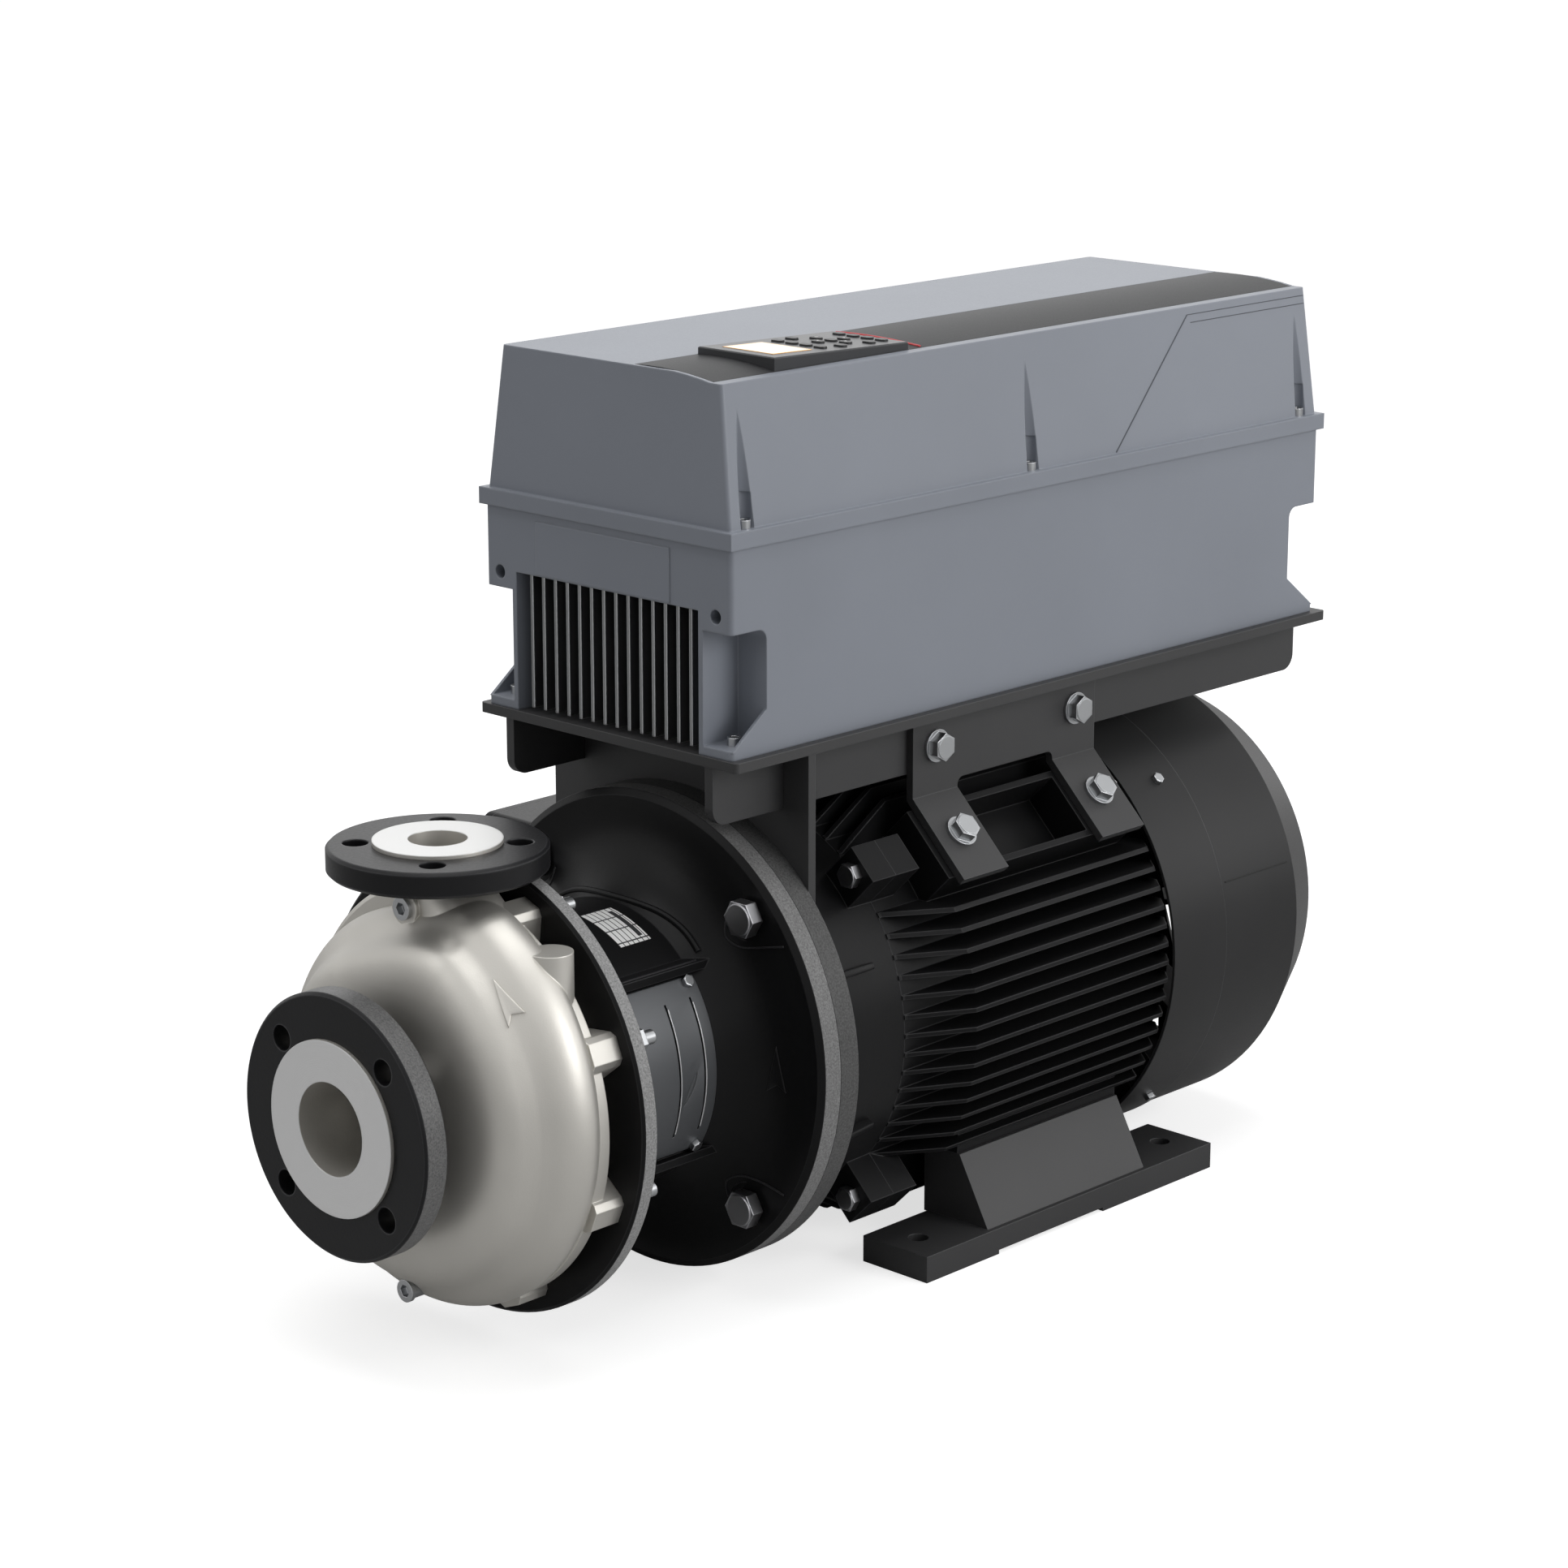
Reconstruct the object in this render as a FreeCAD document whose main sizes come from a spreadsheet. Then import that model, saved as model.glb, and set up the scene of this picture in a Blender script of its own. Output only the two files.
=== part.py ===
import FreeCAD, Part
import math
import os
import Sketcher
from types import SimpleNamespace
from FreeCAD import Placement, Rotation, Vector

# A close-coupled end-suction centrifugal pump with its flanged foot motor and a variable-speed
# drive carried on top. Every outline below is written in the shaft frame: u or x to the right,
# y back along the shaft from the suction face, z up from the shaft axis. The last step of each
# sub-part lifts it onto the motor feet, whose bolt pattern is the origin of the whole set.

DIMS = {
    # pump and motor datums
    "shaft_height": 180.0,
    "pump_length": 308.0,
    "flange_to_foot": 121.0,
    "foot_pitch_across": 279.0,
    "foot_pitch_along": 279.0,
    "discharge_station": 100.0,
    "discharge_height": 180.0,
    # pipe flanges
    "suction_bore": 65.0,
    "suction_flange_dia": 185.0,
    "suction_pitch_dia": 145.0,
    "suction_face_dia": 122.0,
    "suction_flange_thick": 20.0,
    "discharge_bore": 40.0,
    "discharge_flange_dia": 150.0,
    "discharge_pitch_dia": 110.0,
    "discharge_face_dia": 88.0,
    "discharge_flange_thick": 18.0,
    "flange_hole_dia": 18.0,
    "raised_face": 3.0,
    "pipe_wall": 7.0,
    "suction_neck_wall": 10.0,
    "suction_straight": 50.0,
    "flange_chamfer": 2.0,
    # volute casing
    "crest_start": 133.0,
    "crest_growth": 27.0,
    "crest_station": 90.0,
    "shoulder_drop": 22.0,
    "shoulder_station": 55.0,
    "casing_wall": 7.0,
    "rim_radius": 146.0,
    "rim_front": 104.0,
    "rim_back": 117.0,
    "boss_tip_radius": 152.0,
    "boss_length": 25.0,
    "boss_root_width": 34.0,
    "boss_tip_width": 21.0,
    "gauge_boss_radius": 15.0,
    "gauge_boss_top": 122.0,
    "gauge_boss_out": 103.0,
    "plug_boss_radius": 12.0,
    "plug_boss_length": 29.0,
    "outlet_start_radius": 120.0,
    "vent_height": 138.0,
    "vent_station": 69.0,
    "drain_depth": 132.5,
    "drain_station": 64.0,
    "plug_radius": 8.0,
    "plug_head_height": 3.0,
    # hydraulics and seal
    "impeller_radius": 104.0,
    "impeller_outlet": 7.0,
    "shroud_thick": 3.5,
    "blade_thick": 3.5,
    "eye_radius": 34.5,
    "eye_neck_radius": 40.0,
    "side_clearance": 4.0,
    "chamber_radius": 112.0,
    "wear_gap": 0.3,
    "wear_ring_thick": 6.0,
    "cover_register": 14.0,
    "cover_flange_radius": 126.0,
    "seal_chamber_radius": 60.0,
    "seat_radius": 30.0,
    "seat_thick": 8.0,
    "seal_ring_radius": 25.0,
    "pump_shaft_radius": 14.0,
    "pump_nut_thread": 8.0,
    "coupling_radius": 34.0,
    "coupling_end_gap": 18.0,
    "shaft_gap": 0.03,
    "seat_gap": 0.3,
    "face_gap": 0.05,
    # motor stool
    "stool_ring_radius": 163.0,
    "stool_ring_thick": 12.0,
    "barrel_radius": 103.0,
    "barrel_wall": 7.0,
    "bell_start": 258.0,
    "bell_radius": 60.0,
    "stool_flange_thick": 17.0,
    "window_front": 158.0,
    "window_back": 256.0,
    "window_top": 60.0,
    "window_bottom": 50.0,
    "rail_bead": 6.0,
    "guard_thick": 1.5,
    "guard_overlap": 6.0,
    # motor
    "motor_flange_radius": 175.0,
    "motor_flange_thick": 18.0,
    "motor_pitch_radius": 150.0,
    "motor_spigot_radius": 125.0,
    "spigot_height": 5.0,
    "shield_radius": 151.0,
    "frame_front": 402.0,
    "frame_back": 680.0,
    "frame_radius": 149.0,
    "frame_bore": 140.0,
    "fin_tip_radius": 175.0,
    "fin_pitch": 14.0,
    "fin_thick": 3.2,
    "side_fin_count": 14,
    "top_fin_count": 13,
    "fin_taper": 48.0,
    "fin_chamfer": 12.0,
    "motor_shaft_radius": 24.0,
    "shaft_front": 198.0,
    "core_front": 440.0,
    "core_back": 620.0,
    "air_gap": 0.6,
    "rotor_radius": 90.0,
    "coil_length": 26.0,
    "front_bearing_radius": 55.0,
    "front_bearing_bore": 25.0,
    "front_bearing_width": 27.0,
    "front_bearing_station": 318.0,
    "rear_bearing_radius": 50.0,
    "rear_bearing_bore": 22.5,
    "rear_bearing_width": 25.0,
    "rear_bearing_station": 690.0,
    "ball_fit": 0.2,
    "lug_radius": 183.0,
    "lug_half_width": 15.0,
    "lug_length": 24.0,
    "pad_half_width": 29.0,
    "cowl_front": 672.0,
    "cowl_seam": 735.0,
    "cowl_bend": 825.0,
    "cowl_back": 876.0,
    "cowl_front_radius": 178.0,
    "cowl_radius": 176.3,
    "cowl_end_radius": 150.0,
    "cowl_wall": 2.5,
    "fan_station": 745.0,
    "fan_depth": 40.0,
    "fan_radius": 150.0,
    "fan_seat_radius": 20.0,
    # motor feet
    "foot_inner": 108.0,
    "foot_outer": 170.0,
    "foot_length": 328.0,
    "foot_thick": 20.0,
    "foot_hole_dia": 15.0,
    "foot_relief": 3.0,
    "foot_relief_length": 119.0,
    "foot_block_length": 180.0,
    "foot_block_back": 655.0,
    "foot_block_top": 109.0,
    "foot_block_inner": 104.0,
    "foot_block_crown": 138.0,
    "foot_block_base": 166.0,
    # terminal box on the far side
    "box_face": 172.0,
    "box_depth": 90.0,
    "box_front": 380.0,
    "box_length": 180.0,
    "box_half_height": 90.0,
    "box_wall": 5.0,
    "lid_thick": 7.0,
    # tray under the drive
    "tray_half_width": 127.8,
    "tray_front": 255.0,
    "tray_back": 915.0,
    "tray_bottom": 217.3,
    "tray_thick": 7.2,
    "rail_outer": 103.0,
    "rail_thick": 7.5,
    "rail_depth": 42.0,
    "rail_inset": 2.0,
    "rail_corner": 12.0,
    "support_thick": 7.0,
    "support_bottom": 96.0,
    "support_half_width": 127.0,
    "bracket_thick": 6.0,
    "bracket_front": 453.0,
    "bracket_leg": 48.0,
    "bracket_length": 202.0,
    "bracket_bend": 158.0,
    "bracket_drop": 49.0,
    "bracket_window_top": 165.0,
    # drive
    "drive_front": 257.0,
    "drive_back": 907.0,
    "drive_half_width": 121.0,
    "drive_height": 144.5,
    "drive_edge": 4.0,
    "tunnel_half_width": 90.0,
    "tunnel_height": 99.5,
    "sink_fin_count": 14,
    "sink_fin_pitch": 12.1,
    "sink_fin_thick": 2.6,
    "sink_inset": 4.0,
    "sink_base": 9.0,
    "sink_setback": 26.0,
    "sink_back": 858.0,
    "pocket_inner": 94.0,
    "pocket_depth": 34.0,
    "pocket_floor": 6.5,
    "pocket_top": 86.5,
    "lip_height": 12.0,
    "lip_proud": 3.0,
    "cover_height": 101.0,
    "cover_foot_inset": 2.0,
    "cover_side_draft": 14.5,
    "cover_end_draft": 5.5,
    "cover_edge": 3.0,
    "slot_radius": 5.9,
    "slot_axis": 115.0,
    "slot_height": 84.0,
    "screw_head_radius": 5.0,
    "drive_fan_radius": 42.0,
    "drive_fan_pin": 4.0,
    # operating panel in the cover
    "strip_left": 22.0,
    "strip_right": 97.0,
    "strip_floor": 8.0,
    "strip_crown": 2.2,
    "strip_fall": 4.0,
    "strip_wall": 3.0,
    "panel_front": 325.0,
    "panel_length": 134.0,
    "panel_proud": 5.5,
    "panel_rear_proud": 1.4,
    "panel_inset": 1.0,
    "key_height": 8.0,
    "key_well_depth": 6.9,
    "key_proud": 1.3,
    "key_travel": 1.2,
    "key_gap": 0.35,
    "key_length": 10.0,
    "key_width": 6.5,
    "key_pitch": 13.4,
    # fasteners
    "m12_radius": 6.0,
    "m12_flats": 18.0,
    "m12_head": 7.5,
    "stud_nut": 12.5,
    "stud_reach": 27.0,
    "m16_radius": 8.0,
    "m16_flats": 24.0,
    "m16_head": 10.0,
    "m10_radius": 5.0,
    "m10_flats": 16.0,
    "m10_head": 6.5,
    "m5_radius": 2.5,
    "m5_flats": 8.0,
    "m5_head": 3.5,
    "m6_radius": 3.0,
    "washer_thick": 2.5,
    "washer_radius": 12.0,
    "hole_gap": 0.3,
}

DIAGONAL = math.sqrt(0.5)
PLANE_OF_SHAFT = "YZ_Plane"
PLANE_ACROSS = "XZ_Plane"
PLANE_LEVEL = "XY_Plane"
FAR = 400.0


class Size(float):
    """A number that remembers the sheet formula it comes from."""

    def __new__(cls, value, formula):
        number = float.__new__(cls, value)
        number.formula = formula
        return number

    def __add__(self, other):
        return Size(float(self) + float(other), "(%s + %s)" % (self.formula, formula_of(other)))

    def __radd__(self, other):
        return Size(float(other) + float(self), "(%s + %s)" % (formula_of(other), self.formula))

    def __sub__(self, other):
        return Size(float(self) - float(other), "(%s - %s)" % (self.formula, formula_of(other)))

    def __rsub__(self, other):
        return Size(float(other) - float(self), "(%s - %s)" % (formula_of(other), self.formula))

    def __mul__(self, other):
        return Size(float(self) * float(other), "(%s * %s)" % (self.formula, formula_of(other)))

    def __rmul__(self, other):
        return Size(float(other) * float(self), "(%s * %s)" % (formula_of(other), self.formula))

    def __truediv__(self, other):
        return Size(float(self) / float(other), "(%s / %s)" % (self.formula, formula_of(other)))

    def __neg__(self):
        return Size(-float(self), "(-%s)" % self.formula)


def formula_of(term):
    if isinstance(term, Size):
        return term.formula
    return "%.6f" % float(term)


doc = FreeCAD.newDocument("PumpSet")
sheet = doc.addObject("Spreadsheet::Sheet", "Dims")
for row, (alias, value) in enumerate(DIMS.items(), start=1):
    sheet.set("A%d" % row, alias)
    sheet.set("B%d" % row, str(value))
    sheet.setAlias("B%d" % row, alias)
doc.recompute()
d = SimpleNamespace(**{alias: Size(sheet.get(alias), "Dims." + alias) for alias in DIMS})

# Where the suction face lies behind the foot pattern, and the stations that many pieces share.
suction_shift = -(d.foot_pitch_along / 2 + d.flange_to_foot + d.pump_length)
ring_front = d.rim_back + 14.0
ring_back = ring_front + d.stool_ring_thick
suction_radius = d.suction_bore / 2
discharge_radius = d.discharge_bore / 2
suction_neck = suction_radius + d.suction_neck_wall
discharge_neck = discharge_radius + d.pipe_wall
outlet_front = d.discharge_station - d.impeller_outlet / 2
outlet_back = d.discharge_station + d.impeller_outlet / 2
impeller_back = outlet_back + d.shroud_thick
hub_back = impeller_back + 4.0
seat_front = ring_front - d.seat_thick
frame_tip = d.fin_tip_radius
tray_top = d.tray_bottom + d.tray_thick
leg_reach = (d.rail_outer + d.bracket_thick + d.bracket_bend) * DIAGONAL
pad_reach = leg_reach - d.bracket_thick - d.face_gap
drive_top = tray_top + d.drive_height
cover_base = drive_top + d.lip_height
cover_top = cover_base + d.cover_height
foot_top = -d.shaft_height + d.foot_thick
PARTS = []


def keep(obj, label):
    """Name a sub-part and lift it from the shaft frame onto the motor feet."""
    obj.Label = label
    obj.Placement = Placement(Vector(0, suction_shift, d.shaft_height), Rotation())
    obj.setExpression("Placement.Base.y", suction_shift.formula)
    obj.setExpression("Placement.Base.z", d.shaft_height.formula)
    PARTS.append(obj)
    return obj


def keep_shape(shape, label):
    """A sub-part whose free form is worked out from the sheet values directly."""
    feature = doc.addObject("Part::Feature", label)
    feature.Shape = shape
    return keep(feature, label)


def new_body(label):
    body = doc.addObject("PartDesign::Body", label)
    return keep(body, label)


def origin_item(body, role):
    return [item for item in body.Origin.OriginFeatures if item.Role == role][0]


def bind(obj, name, size):
    setattr(obj, name, float(size))
    if isinstance(size, Size):
        obj.setExpression(name, size.formula)


def new_sketch(body, name, role, station=0.0):
    """A sketch on an origin plane of its body, moved along + X, Y or Z by station."""
    sketch = body.newObject("Sketcher::SketchObject", name)
    sketch.AttachmentSupport = [(origin_item(body, role), "")]
    sketch.MapMode = "FlatFace"
    lift = -station if role == PLANE_ACROSS else station
    sketch.AttachmentOffset = Placement(Vector(0, 0, lift), Rotation())
    if isinstance(lift, Size):
        sketch.setExpression("AttachmentOffset.Base.z", lift.formula)
    return sketch


class Limits:
    """Gathers the constraints of a sketch with their formulas and adds them in one go."""

    def __init__(self, sketch):
        self.sketch = sketch
        self.rules = []
        self.sizes = []

    def add(self, rule, size=None):
        self.rules.append(rule)
        self.sizes.append(size)

    def pin(self, geometry, point, u, v):
        self.add(Sketcher.Constraint("DistanceX", -1, 1, geometry, point, float(u)), u)
        self.add(Sketcher.Constraint("DistanceY", -1, 1, geometry, point, float(v)), v)

    def apply(self):
        numbers = self.sketch.addConstraint(self.rules)
        for number, size in zip(numbers, self.sizes):
            if isinstance(size, Size):
                self.sketch.setExpression("Constraints[%d]" % number, size.formula)


def arc_between(start, end, radius):
    """The arc from start to end; a positive radius turns left, a negative one right."""
    chord = end - start
    half = chord.Length / 2
    reach = math.sqrt(max(radius * radius - half * half, 0.0))
    left = Vector(-chord.y, chord.x, 0).normalize()
    centre = start + chord * 0.5 + left * math.copysign(reach, radius)
    first, last = (start, end) if radius > 0 else (end, start)
    angles = [math.atan2(point.y - centre.y, point.x - centre.x) for point in (first, last)]
    circle = Part.Circle(centre, Vector(0, 0, 1), abs(radius))
    return Part.ArcOfCircle(circle, angles[0], angles[1])


def draw_outline(sketch, corners):
    """A closed outline through corners (u, v); (u, v, radius) starts an arc to the next one.

    A list of such outlines draws them all in the one sketch."""
    if isinstance(corners[0], list):
        for outline in corners:
            draw_outline(sketch, outline)
        return
    count = len(corners)
    places = [Vector(float(c[0]), float(c[1]), 0) for c in corners]
    ends = []
    for index, corner in enumerate(corners):
        start, end = places[index], places[(index + 1) % count]
        if len(corner) == 2:
            geometry = sketch.addGeometry(Part.LineSegment(start, end), False)
            ends.append((geometry, 1, 2))
            continue
        geometry = sketch.addGeometry(arc_between(start, end, float(corner[2])), False)
        ends.append((geometry, 1, 2) if corner[2] > 0 else (geometry, 2, 1))
    limits = Limits(sketch)
    for index, (geometry, first, last) in enumerate(ends):
        following = ends[(index + 1) % count]
        limits.add(Sketcher.Constraint("Coincident", geometry, last, following[0], following[1]))
        limits.pin(geometry, first, corners[index][0], corners[index][1])
        if len(corners[index]) == 3:
            radius = corners[index][2]
            size = radius if radius > 0 else -radius
            limits.add(Sketcher.Constraint("Radius", geometry, float(size)), size)
    limits.apply()


def draw_circle(sketch, u, v, radius):
    circle = Part.Circle(Vector(float(u), float(v), 0), Vector(0, 0, 1), float(radius))
    geometry = sketch.addGeometry(circle, False)
    limits = Limits(sketch)
    limits.pin(geometry, 3, u, v)
    limits.add(Sketcher.Constraint("Radius", geometry, float(radius)), radius)
    limits.apply()


def box_corners(left, bottom, right, top):
    return [(left, bottom), (right, bottom), (right, top), (left, top)]


def turn(body, name, corners):
    """Revolve an outline (station, radius) about the shaft axis."""
    sketch = new_sketch(body, name + "_outline", PLANE_OF_SHAFT)
    draw_outline(sketch, corners)
    feature = body.newObject("PartDesign::Revolution", name)
    feature.Profile = sketch
    feature.ReferenceAxis = (sketch, ["H_Axis"])
    feature.Angle = 360.0
    return feature


def turn_away(body, name, corners):
    """Cut a turned groove (station, radius) about the shaft axis."""
    sketch = new_sketch(body, name + "_outline", PLANE_OF_SHAFT)
    draw_outline(sketch, corners)
    feature = body.newObject("PartDesign::Groove", name)
    feature.Profile = sketch
    feature.ReferenceAxis = (sketch, ["H_Axis"])
    feature.Angle = 360.0
    return feature


def grow(body, name, role, corners, station, length):
    """Pad an outline from station towards + X, Y or Z by length."""
    sketch = new_sketch(body, name + "_outline", role, station)
    draw_outline(sketch, corners)
    feature = body.newObject("PartDesign::Pad", name)
    feature.Profile = sketch
    bind(feature, "Length", length)
    feature.Reversed = role == PLANE_ACROSS
    return feature


def carve(body, name, role, corners, station, length):
    """Cut an outline from station towards + X, Y or Z by length."""
    sketch = new_sketch(body, name + "_outline", role, station)
    draw_outline(sketch, corners)
    return carve_sketch(body, name, role, sketch, length)


def carve_sketch(body, name, role, sketch, length):
    feature = body.newObject("PartDesign::Pocket", name)
    feature.Profile = sketch
    bind(feature, "Length", length)
    feature.Reversed = role != PLANE_ACROSS
    return feature


def drill(body, name, role, holes, station, length):
    """Drill round holes (u, v, radius) from station towards + X, Y or Z."""
    sketch = new_sketch(body, name + "_outline", role, station)
    for u, v, radius in holes:
        draw_circle(sketch, u, v, radius)
    return carve_sketch(body, name, role, sketch, length)


def drill_slanted(body, name, side, holes, start, length):
    """Drill holes (station, offset, radius) along the outward diagonal of the right or left side."""
    sketch = body.newObject("Sketcher::SketchObject", name + "_outline")
    sketch.AttachmentSupport = [(origin_item(body, PLANE_OF_SHAFT), "")]
    sketch.MapMode = "FlatFace"
    tilt = Rotation(Vector(1, 0, 0), -45 if side > 0 else -135)
    lift = start * DIAGONAL
    sketch.AttachmentOffset = Placement(Vector(0, lift, lift * side), tilt)
    if isinstance(lift, Size):
        sketch.setExpression("AttachmentOffset.Base.y", lift.formula)
        sketch.setExpression("AttachmentOffset.Base.z", (lift * side).formula)
    for u, v, radius in holes:
        draw_circle(sketch, u, v, radius)
    feature = carve_sketch(body, name, PLANE_OF_SHAFT, sketch, length)
    return feature


def repeat_round(body, name, feature, count):
    pattern = body.newObject("PartDesign::PolarPattern", name)
    pattern.Originals = [feature]
    pattern.Axis = (origin_item(body, "Y_Axis"), [""])
    pattern.Angle = 360.0
    pattern.Occurrences = count
    body.Tip = pattern
    return pattern


def repeat_along(body, name, feature, axis, pitch, count):
    pattern = body.newObject("PartDesign::LinearPattern", name)
    pattern.Originals = [feature]
    pattern.Direction = (origin_item(body, axis), [""])
    bind(pattern, "Length", pitch * (count - 1))
    pattern.Occurrences = int(count)
    body.Tip = pattern
    return pattern


def mirror(body, name, features, role):
    copy = body.newObject("PartDesign::Mirrored", name)
    copy.Originals = features
    copy.MirrorPlane = (origin_item(body, role), [""])
    body.Tip = copy
    return copy


def round_edges(body, name, wanted, radius):
    """Fillet the edges of the body so far for which wanted(edge) is true."""
    return soften(body, name, "PartDesign::Fillet", wanted, "Radius", radius)


def bevel_edges(body, name, wanted, size):
    return soften(body, name, "PartDesign::Chamfer", wanted, "Size", size)


def soften(body, name, kind, wanted, prop, size):
    doc.recompute()
    base = body.Tip
    names = ["Edge%d" % (i + 1) for i, edge in enumerate(base.Shape.Edges) if wanted(edge)]
    feature = body.newObject(kind, name)
    feature.Base = (base, names)
    bind(feature, prop, size)
    return feature


def runs_along(edge, axis):
    """True for a straight edge parallel to the axis 0, 1 or 2."""
    if not isinstance(edge.Curve, Part.Line):
        return False
    return abs(abs(edge.Curve.Direction[axis]) - 1.0) < 1e-6


def is_ring(edge, radius):
    return isinstance(edge.Curve, Part.Circle) and abs(edge.Curve.Radius - radius) < 0.01


# Shapes in the shaft frame made straight from the sheet values

def shaft_point(angle, radius, station):
    """A point at an angle in degrees from + X towards + Z about the shaft axis."""
    turn_by = math.radians(angle)
    return Vector(radius * math.cos(turn_by), station, radius * math.sin(turn_by))


def turned_shape(corners):
    points = [Vector(0, station, radius) for station, radius in corners]
    face = Part.Face(Part.makePolygon(points + points[:1]))
    return face.revolve(Vector(0, 0, 0), Vector(0, 1, 0), 360)


def block(x0, y0, z0, x1, y1, z1):
    return Part.makeBox(x1 - x0, y1 - y0, z1 - z0, Vector(x0, y0, z0))


def rod(base, direction, radius, length):
    return Part.makeCylinder(radius, length, base, direction)


def hex_prism(flats, height, base, direction):
    corner = flats / math.sqrt(3.0)
    points = [Vector(corner * math.cos(math.radians(60 * i)), corner * math.sin(math.radians(60 * i)), 0)
              for i in range(6)]
    prism = Part.Face(Part.makePolygon(points + points[:1])).extrude(Vector(0, 0, height))
    prism.Placement = Placement(base, Rotation(Vector(0, 0, 1), direction))
    return prism


def hex_screw(seat, direction, radius, flats, head, shank, washer=0.0, washer_radius=0.0):
    """A hex screw whose washer or head bears on seat; direction points out of the head."""
    way = Vector(direction).normalize()
    foot = seat + way * washer
    crown = foot + way * head
    screw = hex_prism(flats, head, foot, way)
    screw = screw.fuse(rod(crown, way, flats * 0.46, head * 0.1))
    screw = screw.fuse(rod(foot - way * shank, way, radius, shank + head / 2))
    if washer:
        screw = screw.fuse(rod(seat, way, washer_radius, washer))
    return screw.removeSplitter()


def socket_screw(seat, direction, shank):
    """A cap screw with its hexagon socket; the underside of the head bears on seat."""
    way = Vector(direction).normalize()
    head = d.m6_radius * 2
    screw = rod(seat, way, d.screw_head_radius, head)
    screw = screw.fuse(rod(seat - way * shank, way, d.m6_radius, shank + head / 2))
    return screw.cut(hex_prism(d.m6_radius * 1.7, head, seat + way * head * 0.45, way))


def corner_angles():
    return [45 + 90 * i for i in range(4)]


def boss_angles():
    return [22.5 + 45 * i for i in range(8)]


# Pipe flanges: loose rings behind the turned faces of the casing

def loose_flange(label, outer_dia, pitch_dia, thick, neck, role, start):
    """A loose flange ring; role tells the plane it lies in and start its near face."""
    body = new_body(label)
    disc = new_sketch(body, "disc_outline", role, start)
    centre = d.discharge_station if role == PLANE_LEVEL else 0.0
    draw_circle(disc, 0.0, centre, outer_dia / 2)
    draw_circle(disc, 0.0, centre, neck + d.seat_gap)
    pad = body.newObject("PartDesign::Pad", "disc")
    pad.Profile = disc
    bind(pad, "Length", thick)
    pad.Reversed = role == PLANE_ACROSS
    reach = pitch_dia / 2 * DIAGONAL
    radius = d.flange_hole_dia / 2
    holes = [(reach * i, centre + reach * j, radius) for i in (-1, 1) for j in (-1, 1)]
    drill(body, "bolt_holes", role, holes, start, thick)
    outer = float(outer_dia / 2)
    bevel_edges(body, "rim_chamfer", lambda edge: is_ring(edge, outer), d.flange_chamfer)
    return body


# Volute casing: a spiral loft round the impeller with its bosses and passages

SPIRAL_START = 120.0
SPIRAL_TURN = 300.0


def spiral_share(angle):
    """How far the spiral has grown at an angle, from 0 at the tongue to 1 below the outlet."""
    along = (angle - SPIRAL_START) % 360.0
    if along <= SPIRAL_TURN:
        return (along / SPIRAL_TURN) ** 1.3
    return 0.5 + 0.5 * math.cos(math.pi * min((along - SPIRAL_TURN) / 45.0, 1.0))


def crest_radius(angle):
    return d.crest_start + d.crest_growth * spiral_share(angle)


def casing_section(angle):
    """The casing wall cut by a half plane: dome, shoulder, valley, bulge and back."""
    crest = crest_radius(angle)
    shoulder = crest - d.shoulder_drop
    back_of_flange = d.raised_face + d.suction_flange_thick
    y1, y2 = d.shoulder_station, d.crest_station
    buried = suction_neck - 6
    rise = [
        (back_of_flange, suction_neck + 3),
        (back_of_flange + 9, suction_neck + 12),
        (y1 - 13, shoulder - 38),
        (y1 - 2, shoulder - 3),
        (y1 + 9, shoulder + 4),
        (y1 + 19, crest - 7),
        (y2 + 2, crest),
        (d.rim_front + 3, crest - 7),
    ]
    points = [shaft_point(angle, radius, station) for station, radius in rise]
    curve = Part.BSplineCurve()
    curve.interpolate(points)
    inner_back = shaft_point(angle, buried, d.rim_front + 3)
    inner_front = shaft_point(angle, buried, back_of_flange)
    sides = [Part.makeLine(points[-1], inner_back), Part.makeLine(inner_back, inner_front),
             Part.makeLine(inner_front, points[0])]
    return Part.Wire([curve.toShape()] + sides)


def spiral_loft(section, first, last, step):
    count = int(round((last - first) / step))
    angles = [first + step * i for i in range(count + 1)]
    return Part.makeLoft([section(angle) for angle in angles], True)


def channel_section(angle):
    """The round water passage beside the impeller, opening inwards to the chamber."""
    outer = crest_radius(angle) - d.casing_wall
    inner = d.chamber_radius - 1.5
    centre = shaft_point(angle, (outer + inner) / 2, channel_station(angle))
    normal = shaft_point(angle + 90, 1.0, 0.0)
    return Part.Wire([Part.Circle(centre, normal, (outer - inner) / 2).toShape()])


def channel_station(angle):
    return d.discharge_station - 8.0 * spiral_share(angle)


def outlet_loft(start_radius, end_radius):
    """The outlet pipe: it leaves the spiral near its end and turns up to the discharge face."""
    angle = SPIRAL_START + SPIRAL_TURN
    start = shaft_point(angle - 10, d.outlet_start_radius, channel_station(angle))
    station = d.discharge_station
    path = Part.BezierCurve()
    path.setPoles([start, Vector(start.x / 2, station, d.outlet_start_radius + 4),
                   Vector(0, station, d.discharge_height - 40), Vector(0, station, d.discharge_height)])
    wires = []
    for share in (0.0, 0.3, 0.55, 0.8, 1.0):
        radius = start_radius + (end_radius - start_radius) * share
        wires.append(Part.Wire([Part.Circle(path.value(share), path.tangent(share)[0], radius).toShape()]))
    return Part.makeLoft(wires, True)


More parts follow.
